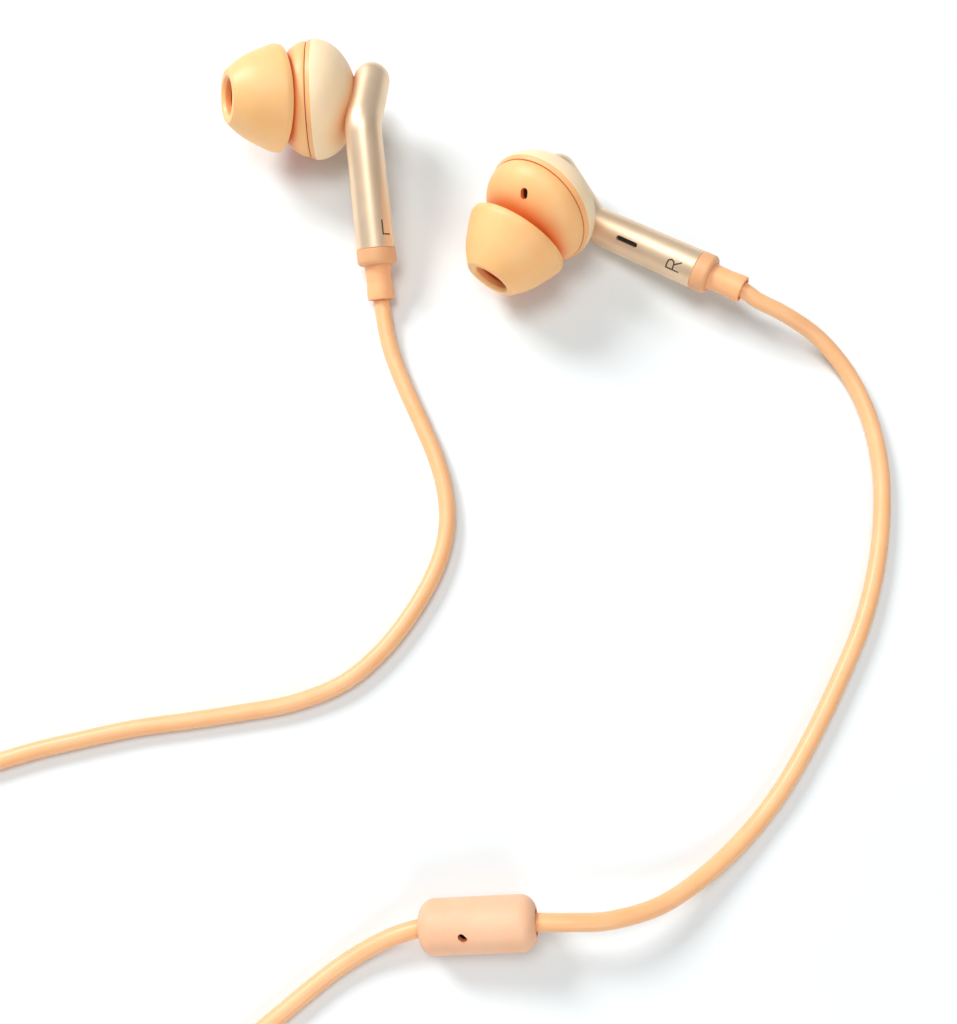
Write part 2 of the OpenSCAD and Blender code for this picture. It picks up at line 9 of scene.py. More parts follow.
import bmesh
import bpy
from mathutils import Euler, Matrix, Vector


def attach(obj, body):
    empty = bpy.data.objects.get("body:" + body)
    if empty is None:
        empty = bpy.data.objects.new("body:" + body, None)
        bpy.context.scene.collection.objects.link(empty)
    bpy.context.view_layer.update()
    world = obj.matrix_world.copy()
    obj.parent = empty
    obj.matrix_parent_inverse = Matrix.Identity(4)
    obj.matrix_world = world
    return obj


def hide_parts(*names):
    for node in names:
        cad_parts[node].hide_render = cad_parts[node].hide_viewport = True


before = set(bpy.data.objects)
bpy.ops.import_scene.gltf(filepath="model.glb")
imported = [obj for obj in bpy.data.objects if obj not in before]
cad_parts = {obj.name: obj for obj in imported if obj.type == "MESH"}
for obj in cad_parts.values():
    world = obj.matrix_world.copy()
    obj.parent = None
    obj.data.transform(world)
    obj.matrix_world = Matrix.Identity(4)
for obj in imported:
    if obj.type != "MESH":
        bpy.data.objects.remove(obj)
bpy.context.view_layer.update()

MM = 0.001
ROOT = "earphones"

# ---- Driving dimensions, as in the CAD ----

HOUSING_R = 7.05
DOME_DEPTH = 5.75
EDGE_SLOPE = 0.65
CUP_R = 6.75
CUP_DEPTH = 4.1
WALL = 0.8
DOME_WALL = 0.95
SEAL_GAP = 0.12

NOZZLE_AT = Vector((0.3, 0, 0))
NOZZLE_YAW = -22
NOZZLE_PITCH = 6.5
NOZZLE_L = 8.2
BEAD_R = 2.6
NECK_R = 2.3
SOUND_R = 1.75
TIP_FIT = 0.05
TIP_AT = 3.65
TIP_L = 6.3

BEND_AT = Vector((-6.5, -3.3, -4.6))
STEM_TURN = (0, -13, 112)
STEM_LOW = 14.6
STEM_UP = 7.2
STEM_BEND = 35.5
STEM_R = 2.18
STEM_END_R = 2.33
STEM_WALL = 0.4
SLOT_TURN = 284
SLOT_UP = 8.8
SLOT_L = 2.8
SLOT_W = 0.56
MARK_TURN = {"left": 114, "right": 277}
MARK_UP = 2.35
MARK_H = 1.7

COLLAR_L = 1.9
COLLAR_R = 2.36
RELIEF_L = 4.1
RELIEF_R = 1.6
RELIEF_TIP = STEM_LOW + COLLAR_L + RELIEF_L
CORD_STOP = 0.4

CORD_R = 0.95

CAPSULE_AT = Vector((-0.4, -86.3, 3.6))
CAPSULE_TURN = 2.7
CAPSULE_TILT = 9
CAPSULE_L = 12.3
CAPSULE_R = 2.9
CAPSULE_ROUND = 1.7

REMOTE_AT = Vector((-68, -128, 0))
REMOTE_L = 36
REMOTE_W = 10.4
REMOTE_H = 6.4
REMOTE_SPLIT = 3.3
REMOTE_WALL = 0.8
LEG_OFFSET = 2.3
STUB_Z = 2.6
STUB_L = 3
BUTTON_W = 5.2
BUTTON_PITCH = 8.6

PLUG_AT = Vector((-1, -156, 3))
PLUG_RELIEF_L = 8
GRIP_R = 2.9
GRIP_L = 16
CONTACT_R = 1.75
CONTACT_L = 14

SIDES = ("left", "right")
BUD_AT = {"left": (-20.8, 9.4, 7.1), "right": (6.55, -5.7, 7.35)}
BUD_TURN = {"left": (80, -1.5, -178.5), "right": (88.5, -16.5, -129)}


# ---- Placing ----

shift = Matrix.Translation


def turned(degrees):
    """A rotation by three angles in degrees."""
    return Euler([math.radians(a) for a in degrees], "XYZ").to_matrix().to_4x4()


def bud_frame(side):
    """From an earbud's own frame to the model's, in millimetres. The left one is a mirror image."""
    mirror = Matrix.Scale(-1, 4, (0, 1, 0)) if side == "left" else Matrix.Identity(4)
    return shift(BUD_AT[side]) @ turned(BUD_TURN[side]) @ mirror


LATHE_TO_X = turned((0, 90, 0))
NOZZLE = shift(NOZZLE_AT) @ turned((0, 0, NOZZLE_YAW)) @ turned((0, 90 + NOZZLE_PITCH, 0))
STEM = shift(BEND_AT) @ turned(STEM_TURN)
CAPSULE = shift(CAPSULE_AT) @ turned((0, -CAPSULE_TILT, CAPSULE_TURN))
PLUG = shift(PLUG_AT) @ LATHE_TO_X


# ---- Camera; the cords' points were measured against its view ----

CAMERA_TILT = 16
CAMERA_DISTANCE = 151
CAMERA_AIM = Vector((-0.35, -40.65, 0))
CAMERA_LENS = 45.7
SENSOR_WIDTH = 36


def make_camera():
    """Looks down at the middle of the layout, tilted a little from straight above."""
    tilt = math.radians(CAMERA_TILT)
    data = bpy.data.cameras.new("Camera")
    data.sensor_width = SENSOR_WIDTH
    data.lens = CAMERA_LENS
    data.clip_start = 0.01
    camera = bpy.data.objects.new("Camera", data)
    back = Vector((0, -math.sin(tilt), math.cos(tilt)))
    camera.location = (CAMERA_AIM + CAMERA_DISTANCE * back) * MM
    camera.rotation_euler = (tilt, 0, 0)
    bpy.context.scene.collection.objects.link(camera)
    bpy.context.scene.camera = camera


make_camera()


# ---- Cords ----

LEFT_LEG_A = [
    (-11, -20.2, 1), (-9.2, -25.2, 0.95), (-7.1, -30, 0.95), (-5.3, -34.4, 0.95),
    (-4.2, -38.6, 0.95), (-4, -42.8, 0.95), (-5, -47.2, 0.95), (-7.4, -52, 0.95),
    (-10.8, -56.7, 0.95), (-15.2, -60.6, 0.95), (-20.8, -62.9, 0.95), (-26.6, -64, 0.95),
    (-32.4, -64.9, 0.95), (-38.2, -65.7, 0.95), (-43.8, -66.9, 0.95), (-49.2, -68.2, 0.95),
    (-54.4, -69.8, 0.95), (-59.4, -71.4, 0.95), (-64.4, -72.9, 1.1), (-69.3, -74.5, 1.35),
]
LEFT_LEG_B = [
    (-77, -85, 3.25), (-77, -90, 2.5), (-76.2, -95, 1.3), (-73.8, -99.4, 1.1),
    (-71.2, -103.2, 1.8), (-70.3, -107, 2.6), (-70.3, -110.6, 2.6),
]
RIGHT_UPPER = [
    (32.5, -16.2, 5), (36, -17.8, 4.3), (40, -20, 2.7), (43.4, -23.8, 1.4),
    (45.6, -29, 0.95), (46.5, -35, 0.95), (46.2, -41.2, 0.95), (45, -47.6, 0.95),
    (42.9, -54, 0.95), (39.9, -60.2, 0.95), (36.6, -66.2, 0.95), (32.9, -72, 0.95),
    (28.8, -76.9, 1), (24, -81.1, 1.7), (18.8, -84.3, 3.1), (13.4, -85.8, 4.5),
    (9.4, -86, 4.95), (5.8, -86, 4.6), (3.55, -86.1, 4.25),
]
RIGHT_LOWER_A = [
    (-4.35, -86.5, 3), (-6.8, -86.7, 2.6), (-9.6, -87.6, 2), (-12.6, -89.1, 1.3),
    (-16, -91.3, 0.95), (-20.4, -94.8, 0.95), (-25.9, -99.3, 1), (-31.5, -104, 1.35),
]
RIGHT_LOWER_B = [
    (-24.5, -102.5, 3.25), (-30.5, -102.5, 3.2), (-36.5, -102.4, 2.3), (-42.5, -101.9, 1.2),
    (-48.5, -101, 0.95), (-54.5, -100.3, 0.95), (-60, -100.6, 1.1), (-64, -102.6, 1.8),
    (-65.7, -107, 2.6), (-65.7, -110.6, 2.6),
]
TRUNK_A = [
    (-68, -145.4, 2.6), (-68, -149, 2.6), (-67.7, -152.6, 1.6), (-65.6, -156.8, 0.95),
    (-61.4, -159, 0.95), (-56, -159.6, 0.95), (-50, -159.5, 1.1), (-44, -159.4, 1.35),
]
TRUNK_B = [
    (-44, -159.4, 7.05), (-38.6, -159.4, 6.7), (-33.4, -159, 4.9), (-28.2, -158.2, 2.7),
    (-23, -157.4, 1.2), (-18, -156.8, 1.1), (-13.4, -156.3, 2), (-9, -156, 3),
    (-2.6, -156, 3),
]

COIL_LIFT = 0.4
PITCH = 2 * CORD_R
LEFT_COIL_AT = (-66, -85)
RIGHT_COIL_AT = (-24.5, -112.5)
TRUNK_COIL_AT = (-44, -147)
LEG_COIL_OUTER = 11
LEG_COIL_INNER = 9.1


def cord_root(side):
    """The two ends of a leg's stretch inside its relief, on the stem's axis."""
    axis = bud_frame(side) @ STEM
    return [axis @ Vector((0, 0, -down)) for down in (STEM_LOW + COLLAR_L + CORD_STOP, RELIEF_TIP)]


def smooth_step(t):
    t = min(max(t, 0), 1)
    return t * t * (3 - 2 * t)


def coil_turns(centre, slots, start, end):
    """Points round a coil from angle start to angle end, in degrees, anticlockwise.

    slots holds (radius, height) for each turn. Near the end of a turn the cord steps
    across to the next slot, so that the turns lie beside and on each other."""
    points = []
    step = 15
    count = round((end - start) / step)
    for i in range(count + 1):
        angle = start + (end - start) * i / count
        turn = (angle - start) / 360
        k = int(turn)
        blend = smooth_step((turn - k - 0.68) / 0.2)
        here = slots[min(k, len(slots) - 1)]
        there = slots[min(k + 1, len(slots) - 1)]
        radius = here[0] + (there[0] - here[0]) * blend
        height = here[1] + (there[1] - here[1]) * blend
        a = math.radians(angle)
        points.append((centre[0] + radius * math.cos(a), centre[1] + radius * math.sin(a), height))
    return points


def layer(number):
    """The height of a coil's layer, at the cord's middle."""
    return COIL_LIFT + CORD_R + PITCH * number


def left_coil_points():
    across = (LEG_COIL_OUTER, LEG_COIL_INNER)
    slots = [(radius, layer(0)) for radius in across]
    slots += [(radius, layer(1)) for radius in across[::-1]]
    return coil_turns(LEFT_COIL_AT, slots, 107.3, 180 + 3 * 360)


def right_coil_points():
    slots = [(LEG_COIL_OUTER, layer(0)), (LEG_COIL_INNER, layer(0)), (10, layer(1))]
    return coil_turns(RIGHT_COIL_AT, slots, 130, 90 + 2 * 360)


def trunk_coil_points():
    across = (12.4, 10.5, 8.6)
    slots = []
    for number in range(4):
        order = across if number % 2 == 0 else across[::-1]
        slots += [(radius, layer(number)) for radius in order]
    return coil_turns(TRUNK_COIL_AT, slots, 270, 270 + 11 * 360)


def catmull(points, cuts):
    """A smooth curve through all the points, with cuts steps between each two."""
    pts = [Vector(p) for p in points]
    ends = [2 * pts[0] - pts[1]] + pts + [2 * pts[-1] - pts[-2]]
    out = []
    for a, b, c, d in zip(ends, ends[1:], ends[2:], ends[3:]):
        for i in range(cuts):
            t = i / cuts
            out.append(
                0.5 * (2 * b + (c - a) * t + (2 * a - 5 * b + 4 * c - d) * t * t
                       + (3 * b - a - 3 * c + d) * t ** 3)
            )
    out.append(pts[-1])
    return out


def length_of(points):
    return sum((b - a).length for a, b in zip(points, points[1:]))


def make_cord(name, route, nodes, far_end, lay):
    """A cord along the route, as one curve, returned with the length that it measures."""
    line = catmull(route, 4)
    curve = bpy.data.curves.new(name, "CURVE")
    curve.dimensions = "3D"
    curve.bevel_depth = CORD_R * MM
    curve.bevel_resolution = 7
    curve.use_fill_caps = True
    spline = curve.splines.new("POLY")
    spline.points.add(len(line) - 1)
    for point, place in zip(spline.points, line):
        point.co = (*(place * MM), 1)
    spline.use_smooth = True
    cord = bpy.data.objects.new(name, curve)
    bpy.context.scene.collection.objects.link(cord)
    curve.materials.append(MATERIALS["cord"])
    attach(cord, ROOT)
    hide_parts(*nodes)
    return {"cord": cord, "length": length_of(line) * MM, "exit": line[0] * MM,
            "far_end": far_end, "lay": lay}


# ---- Materials ----


def linear(colour):
    """A colour given as 0 to 255 display values, in the renderer's linear units."""
    out = []
    for value in colour:
        c = value / 255
        out.append(c / 12.92 if c <= 0.04045 else ((c + 0.055) / 1.055) ** 2.4)
    return (*out, 1)


# Share of open directions at which a gap has its full painted shade, and none of it
GAP_SHUT = 0.3
GAP_OPEN = 0.92
# A Mix node's colour sockets, which share their names with its other kinds
MIX_A = 6
MIX_B = 7
MIX_RESULT = 2
WHITE = (1, 1, 1, 1)


class Surface:
    """A material under construction: its node tree, its shader and its object coordinates."""

    def __init__(self, name, roughness, **numbers):
        self.material = bpy.data.materials.new(name)
        self.material.use_nodes = True
        self.tree = self.material.node_tree
        self.shader = self.tree.nodes["Principled BSDF"]
        self.shader.inputs["Roughness"].default_value = roughness
        for key, value in numbers.items():
            self.shader.inputs[key.replace("_", " ")].default_value = value
        self.place = self.tree.nodes.new("ShaderNodeTexCoord").outputs["Object"]

    def node(self, kind, **values):
        made = self.tree.nodes.new(kind)
        for key, value in values.items():
            if key in made.inputs:
                made.inputs[key].default_value = value
            else:
                setattr(made, key, value)
        return made

    def link(self, source, target):
        self.tree.links.new(source, target)

    def noise(self, scale, detail=4):
        made = self.node("ShaderNodeTexNoise", Scale=scale, Detail=detail)
        self.link(self.place, made.inputs["Vector"])
        return made.outputs["Fac"]

    def ramp(self, source, *stops):
        made = self.node("ShaderNodeValToRGB")
        elements = made.color_ramp.elements
        while len(elements) < len(stops):
            elements.new(0.5)
        for element, (position, colour) in zip(elements, stops):
            element.position = position
            element.color = colour
        self.link(source, made.inputs["Fac"])
        return made.outputs["Color"]

    def colour(self, source):
        self.link(source, self.shader.inputs["Base Color"])

    def drift(self, dark, light, scale):
        return self.ramp(self.noise(scale), (0.35, linear(dark)), (0.65, linear(light)))

    def mottled(self, dark, light, scale):
        """Base colour that drifts between two near shades."""
        self.colour(self.drift(dark, light, scale))

    def gap_shaded(self, dark, light, scale, shade_tint, reach):
        """As mottled, with painted shade in narrow gaps: darker and deeper orange there, standing
        in for shade and for light going from wall to wall many times.
        """
        shade = self.drift(dark, light, scale)
        gap = self.node("ShaderNodeAmbientOcclusion", Distance=reach)
        open_share = self.node("ShaderNodeMapRange")
        open_share.inputs["From Min"].default_value = GAP_SHUT
        open_share.inputs["From Max"].default_value = GAP_OPEN
        self.link(gap.outputs["AO"], open_share.inputs["Value"])
        mixed = self.node("ShaderNodeMix", data_type="RGBA", blend_type="MULTIPLY")
        mixed.inputs["Factor"].default_value = 1
        self.link(shade, mixed.inputs[MIX_A])
        # Painted shade: the colour is multiplied towards the tint where nearby walls shut the gap
        painted_shade = self.ramp(open_share.outputs["Result"], (0, shade_tint), (1, WHITE))
        self.link(painted_shade, mixed.inputs[MIX_B])
        self.colour(mixed.outputs[MIX_RESULT])

    def rough(self, low, high, scale):
        """Roughness that drifts between two values."""
        span = self.node("ShaderNodeMapRange")
        span.inputs["To Min"].default_value = low
        span.inputs["To Max"].default_value = high
        self.link(self.noise(scale), span.inputs["Value"])
        self.link(span.outputs["Result"], self.shader.inputs["Roughness"])

    def bump(self, height, strength, distance):
        made = self.node("ShaderNodeBump", Strength=strength, Distance=distance)
        self.link(height, made.inputs["Height"])
        self.link(made.outputs["Normal"], self.shader.inputs["Normal"])


# Painted shade: what a narrow gap multiplies the colour by, and how far it looks for a facing wall,
# in metres
GAP_SHADE_TINT = (0.94, 0.6, 0.4, 1)
DEEP_GAP_SHADE_TINT = (0.92, 0.37, 0.17, 1)
CORD_GAP_SHADE_TINT = (0.98, 0.86, 0.74, 1)
GAP_SHADE_REACH = 0.003
DEEP_GAP_SHADE_REACH = 0.007
# Scales of the drifts in shade and in roughness, and the scale and height of the skin's grain
SHADE_DRIFT = 260
ROUGH_DRIFT = 500
GRAIN_SCALE = 9000
GRAIN_HEIGHT = 0.00002


def soft_surface(name, dark, light, roughness, grain, subsurface=0.2, depth=0.0008,
                 shade_tint=GAP_SHADE_TINT, reach=GAP_SHADE_REACH):
    """A silicone or soft moulding, with a fine grain and painted shade in narrow gaps. A little
    light goes through it.
    """
    made = Surface(name, roughness, Subsurface_Weight=subsurface, Subsurface_Scale=depth,
                   Subsurface_Radius=(1.0, 0.42, 0.16), Specular_IOR_Level=0.5)
    made.gap_shaded(dark, light, SHADE_DRIFT, shade_tint, reach)
    made.rough(roughness - 0.05, roughness + 0.07, ROUGH_DRIFT)
    made.bump(made.noise(GRAIN_SCALE, detail=2), grain, GRAIN_HEIGHT)
    return made.material


def silicone():
    # Deep orange painted shade in its gaps
    return soft_surface("tip_silicone", (254, 193, 127), (254, 199, 135),
                        roughness=0.44, subsurface=0.3, depth=0.0006, grain=0.12, shade_tint=DEEP_GAP_SHADE_TINT)


def cup_plastic():
    # Deep orange painted shade in its gaps, reaching far
    return soft_surface("cup_plastic", (253, 189, 124), (254, 195, 131),
                        roughness=0.46, grain=0.2, shade_tint=DEEP_GAP_SHADE_TINT, reach=DEEP_GAP_SHADE_REACH)


def shaded_edge_plastic():
    # Darker than the dome and the cup: partly the cup's own orange, partly painted shade for the
    # forward-facing slope
    return soft_surface("shaded_edge_plastic", (248, 180, 118), (250, 186, 125), roughness=0.46, grain=0.2)


def dome_plastic():
    return soft_surface("dome_plastic", (255, 223, 181), (255, 227, 188), roughness=0.5, grain=0.25)


def capsule_plastic():
    return soft_surface("capsule_plastic", (243, 190, 152), (245, 196, 160),
                        roughness=0.5, grain=0.25)


def collar_plastic():
    return soft_surface("collar_plastic", (229, 169, 119), (232, 175, 126),
                        roughness=0.45, subsurface=0.15, depth=0.0006, grain=0.2)


def relief_rubber():
    return soft_surface("relief_rubber", (249, 182, 127), (251, 188, 134),
                        roughness=0.46, subsurface=0.15, depth=0.0006, grain=0.2)


def cord_rubber():
    # Slight painted shade in its gaps
    return soft_surface("cord_rubber", (249, 186, 131), (250, 192, 139),
                        roughness=0.38, depth=0.0006, grain=0.15, shade_tint=CORD_GAP_SHADE_TINT)


def tie_rubber():
    return soft_surface("tie_rubber", (246, 222, 190), (250, 228, 200),
                        roughness=0.5, depth=0.001, grain=0.2)


def champagne_metal():
    """Satin anodised aluminium with a very fine blasted grain."""
    made = Surface("champagne_metal", 0.41, Metallic=0.65)
    made.mottled((239, 210, 177), (244, 216, 184), 300)
    made.rough(0.37, 0.45, 800)
    made.bump(made.noise(14000, detail=3), 0.25, 0.00001)
    return made.material


def woven_gauze(name, threads, thread_colour):
    """A fine woven mesh: crossing threads over black."""
    made = Surface(name, 0.6)
    waves = []
    for axis in ("X", "Y"):
        wave = made.node("ShaderNodeTexWave", bands_direction=axis, Scale=threads)
        made.link(made.place, wave.inputs["Vector"])
        waves.append(wave.outputs["Fac"])
    both = made.node("ShaderNodeMath", operation="MAXIMUM")
    for wave, socket in zip(waves, both.inputs):
        made.link(wave, socket)
    weave = both.outputs[0]
    made.colour(made.ramp(weave, (0.7, linear((6, 6, 6))), (0.95, linear(thread_colour))))
    made.bump(weave, 0.4, 0.00003)
    return made.material


def hard_surface(name, dark, light, drift, roughness, span=None, **numbers):
    """A smooth finish that drifts between two shades. span is a roughness range and its scale."""
    made = Surface(name, roughness, **numbers)
    made.mottled(dark, light, drift)
    if span:
        made.rough(*span)
    return made.material


def gold_plate():
    return hard_surface("gold_plate", (226, 178, 92), (238, 192, 108),
                        drift=400, roughness=0.22, span=(0.16, 0.3, 900), Metallic=1.0)


def plain_steel():
    return hard_surface("plain_steel", (168, 168, 166), (188, 188, 186),
                        drift=500, roughness=0.35, span=(0.3, 0.45, 700), Metallic=1.0)


def seal_rubber():
    """The shadowed rubber between the two halves of the housing."""
    return hard_surface("seal_rubber", (150, 84, 40), (176, 104, 54), drift=900, roughness=0.7)


def mark_ink():
    return hard_surface("mark_ink", (52, 34, 22), (66, 44, 28), drift=2000, roughness=0.55)


def black_plastic():
    return hard_surface("black_plastic", (20, 20, 21), (28, 28, 29),
                        drift=700, roughness=0.45, span=(0.4, 0.55, 900))


def board_mask():
    return hard_surface("board_mask", (18, 84, 52), (24, 98, 62), drift=900, roughness=0.35)


def driver_film():
    return hard_surface("driver_film", (214, 186, 120), (224, 198, 134),
                        drift=800, roughness=0.25, Transmission_Weight=0.2)


def wire_enamel():
    return hard_surface("wire_enamel", (150, 34, 22), (172, 46, 30), drift=900, roughness=0.3)


MATERIALS = {
    "silicone": silicone(),
    "cup": cup_plastic(),
    "dome": dome_plastic(),
    "edge": shaded_edge_plastic(),
    "capsule": capsule_plastic(),
    "collar": collar_plastic(),
    "relief": relief_rubber(),
    "cord": cord_rubber(),
    "tie": tie_rubber(),
    "metal": champagne_metal(),
    "gold": gold_plate(),
    "steel": plain_steel(),
    "gauze": woven_gauze("black_gauze", 9000, (34, 30, 28)),
    "steel_gauze": woven_gauze("steel_gauze", 7000, (150, 136, 120)),
    "seal": seal_rubber(),
    "ink": mark_ink(),
    "black": black_plastic(),
    "board": board_mask(),
    "film": driver_film(),
    "wire": wire_enamel(),
}

CAD_LOOKS = {
    "nozzle_mesh": "steel_gauze",
    "vent_mesh": "gauze",
    "port_mesh": "gauze",
    "housing_seal": "seal",
    "driver_frame": "steel",
    "driver_magnet": "steel",
    "diaphragm": "film",
    "lead_wires": "wire",
    "cord_ferrule": "steel",
    "capsule_board": "board",
    "capsule_microphone": "gauze",
    "remote_board": "board",
    "remote_switches": "steel",
    "plug_core": "steel",
}


def dress_cad_nodes():
    """The CAD nodes that stay are given their finishes."""
    for name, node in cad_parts.items():
        for ending, look in CAD_LOOKS.items():
            if name.endswith(ending):
                node.data.materials.clear()
                node.data.materials.append(MATERIALS[look])


dress_cad_nodes()


# ---- Mesh building ----


def finish_mesh(name, mesh, place, look, nodes, body=ROOT, sharp=38):
    """Puts a bmesh that was drawn in millimetres in its place, smooths it and makes it a piece."""
    mesh.transform(place)
    if place.determinant() < 0:
        bmesh.ops.reverse_faces(mesh, faces=mesh.faces)
    mesh.transform(Matrix.Scale(MM, 4))
    data = bpy.data.meshes.new(name)
    mesh.to_mesh(data)
    mesh.free()
    for polygon in data.polygons:
        polygon.use_smooth = True
    data.set_sharp_from_angle(angle=math.radians(sharp))
    piece = bpy.data.objects.new(name, data)
    bpy.context.scene.collection.objects.link(piece)
    data.materials.append(MATERIALS[look])
    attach(piece, body)
    if nodes:
        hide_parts(*nodes)
    return piece


def filleted(corners, steps=6):
    """A closed outline from corners (x, y, radius): each corner is rounded by its radius."""
    out = []
    count = len(corners)
    for i, (x, y, radius) in enumerate(corners):
        here = Vector((x, y))
        before = Vector(corners[i - 1][:2]) - here
        after = Vector(corners[(i + 1) % count][:2]) - here
        half = before.angle(after) / 2
        if radius <= 0 or half > math.radians(89):
            out.append((x, y))
            continue
        cut = min(radius / math.tan(half), 0.49 * before.length, 0.49 * after.length)
        a = here + before.normalized() * cut
        b = here + after.normalized() * cut
        middle = (a + b) / 2
        centre = here + (middle - here).normalized() * (cut / math.cos(half))
        reach = (a - centre).length
        for k in range(steps + 1):
            along = (a - centre).normalized().slerp((b - centre).normalized(), k / steps)
            out.append(tuple(centre + along * reach))
    return out


def ellipse_arc(radius, depth, start, end, steps):
    """Points (radius cos, depth sin) for angles from start to end, in degrees."""
    out = []
    for i in range(steps + 1):
        a = math.radians(start + (end - start) * i / steps)
        out.append((radius * math.cos(a), depth * math.sin(a)))
    return out


def lathe(outline, steps=96):
    """Turns a closed outline of (radius, height) points round the Z axis into a solid."""
    mesh = bmesh.new()
    columns = []
    for radius, height in outline:
        if radius < 1e-5:
            columns.append([mesh.verts.new((0, 0, height))])
        else:
            columns.append([
                mesh.verts.new((radius * math.cos(2 * math.pi * k / steps),
                                radius * math.sin(2 * math.pi * k / steps), height))
                for k in range(steps)
            ])
    for i, here in enumerate(columns):
        there = columns[(i + 1) % len(columns)]
        if len(here) == 1 and len(there) == 1:
            continue
        for k in range(steps):
            corners = [here[k % len(here)], here[(k + 1) % len(here)],
                       there[(k + 1) % len(there)], there[k % len(there)]]
            mesh.faces.new(list(dict.fromkeys(corners)))
    bmesh.ops.recalc_face_normals(mesh, faces=mesh.faces)
    return mesh


def mesh_object(mesh):
    """A bare object for a boolean cut."""
    data = bpy.data.meshes.new("cutter")
    mesh.to_mesh(data)
    mesh.free()
    made = bpy.data.objects.new("cutter", data)
    bpy.context.scene.collection.objects.link(made)
    return made


def cut(mesh, cutters):
    """The bmesh with other bmeshes cut out of it."""
    body = mesh_object(mesh)
    for cutter in cutters:
        tool = mesh_object(cutter)
        modifier = body.modifiers.new("cut", "BOOLEAN")
        modifier.operation = "DIFFERENCE"
        modifier.solver = "EXACT"
        modifier.object = tool
        bpy.context.view_layer.update()
        graph = bpy.context.evaluated_depsgraph_get()
        evaluated = bpy.data.meshes.new_from_object(body.evaluated_get(graph))
        body.modifiers.clear()
        body.data = evaluated
        bpy.data.objects.remove(tool)
    out = bmesh.new()
    out.from_mesh(body.data)
    bpy.data.objects.remove(body)
    return out


def pill(length, width, depth):
    """A round-ended bar: long along X, wide along Y, and deep along Z, centred."""
    mesh = bmesh.new()
    rim = []
    for end in (1, -1):
        for k in range(13):
            a = math.radians(-90 * end + 15 * k) if end == 1 else math.radians(90 + 15 * k)
            rim.append((end * (length - width) / 2 + width / 2 * math.cos(a),
                        width / 2 * math.sin(a)))
    low = [mesh.verts.new((x, y, -depth / 2)) for x, y in rim]
    high = [mesh.verts.new((x, y, depth / 2)) for x, y in rim]
    count = len(rim)
    for k in range(count):
        mesh.faces.new((low[k], low[(k + 1) % count], high[(k + 1) % count], high[k]))
    mesh.faces.new(low[::-1])
    mesh.faces.new(high)
    return mesh


def moved(mesh, place):
    mesh.transform(place)
    return mesh


# ---- Ear tips ----

# The skirt's outer and inner lines as (radius, height, 0), and the sleeve's sizes
SKIRT_OUTSIDE = [(6.24, 0.3, 0), (6.25, 0.7, 0), (5.98, 1.5, 0), (5.65, 2.3, 0),
                 (5.27, 3.15, 0), (4.85, 4, 0), (4.27, 4.9, 0), (3.62, 5.7, 0)]
SKIRT_INSIDE = [(3.6, 4.62, 0), (4.2, 3.9, 0), (4.7, 3, 0), (5.1, 2.15, 0),
                (5.5, 1.2, 0), (5.72, 0.5, 0)]
SLEEVE_R = 3.3
SLEEVE_LOW = 1.1
SLEEVE_STEP = 5.2
MOUTH_R = 2.12


def make_ear_tip(side):
    """A soft bullet-shaped skirt over a sleeve, drawn along the nozzle."""
    bore = BEAD_R + TIP_FIT
    corners = [(6.22, -0.05, 0.2)]
    corners += [(p.x, p.y, 0) for p in catmull(SKIRT_OUTSIDE, 3)]
    corners += [(SLEEVE_R, 6.06, 0.25), (3.05, TIP_L, 0.15), (2.4, TIP_L, 0.15),
                (MOUTH_R, 5.95, 0.15), (MOUTH_R, SLEEVE_STEP, 0.1), (bore, SLEEVE_STEP, 0.05),
                (bore, SLEEVE_LOW, 0.15), (SLEEVE_R, SLEEVE_LOW, 0.15), (SLEEVE_R, 4.55, 0.3)]
    corners += [(p.x, p.y, 0) for p in catmull(SKIRT_INSIDE, 3)]
    corners += [(5.76, -0.05, 0.12)]
    place = bud_frame(side) @ NOZZLE @ shift((0, 0, TIP_AT))
    return finish_mesh(
        f"{side}_ear_tip_silicone", lathe(filleted(corners), 128), place,
        "silicone", [f"{side}_ear_tip"], body=f"{side}_tip"
    )


# ---- Housing ----


def vent_cutter():
    """What cuts the vent's slot in the front cup."""
    place = shift((3.05, 4.5, 0.96)) @ turned((0, 84, 29.5)) @ turned((0, 0, 121))
    return moved(pill(1.3, 0.9, 3), place)


def make_front_housing(side):
    """The front cup with its vent and its angled nozzle."""
    outer = [(r, SEAL_GAP + z) for r, z in ellipse_arc(CUP_R, CUP_DEPTH, 2, 88, 40)]
    inner = [(r, SEAL_GAP + z)
             for r, z in ellipse_arc(CUP_R - WALL, CUP_DEPTH - WALL, 88, 0, 24)]
    outline = [(CUP_R - 0.05, SEAL_GAP)] + outer + [(0, SEAL_GAP + CUP_DEPTH)]
    outline += [(0, SEAL_GAP + CUP_DEPTH - WALL)] + inner
    cup = moved(lathe(outline, 128), LATHE_TO_X)
    shell = cut(cup, [vent_cutter(), moved(lathe([(0, 0), (SOUND_R, 0), (SOUND_R, 9), (0, 9)], 48),
                                           NOZZLE)])
    finish_mesh(
        f"{side}_front_cup", shell, bud_frame(side), "cup",
        [f"{side}_front_housing"]
    )
    corners = [
        (SOUND_R, 3.1, 0), (3.0, 3.1, 0), (2.6, 4.3, 0.6), (NECK_R, 5.2, 0.6),
        (NECK_R, NOZZLE_L - 1.2, 0.15), (BEAD_R, NOZZLE_L - 0.8, 0.2),
        (BEAD_R, NOZZLE_L - 0.3, 0.2), (NECK_R, NOZZLE_L, 0.1), (SOUND_R, NOZZLE_L, 0.1),
    ]
    nozzle = lathe(filleted(corners), 96)
    finish_mesh(
        f"{side}_nozzle", nozzle, bud_frame(side) @ NOZZLE, "cup", [],
    )


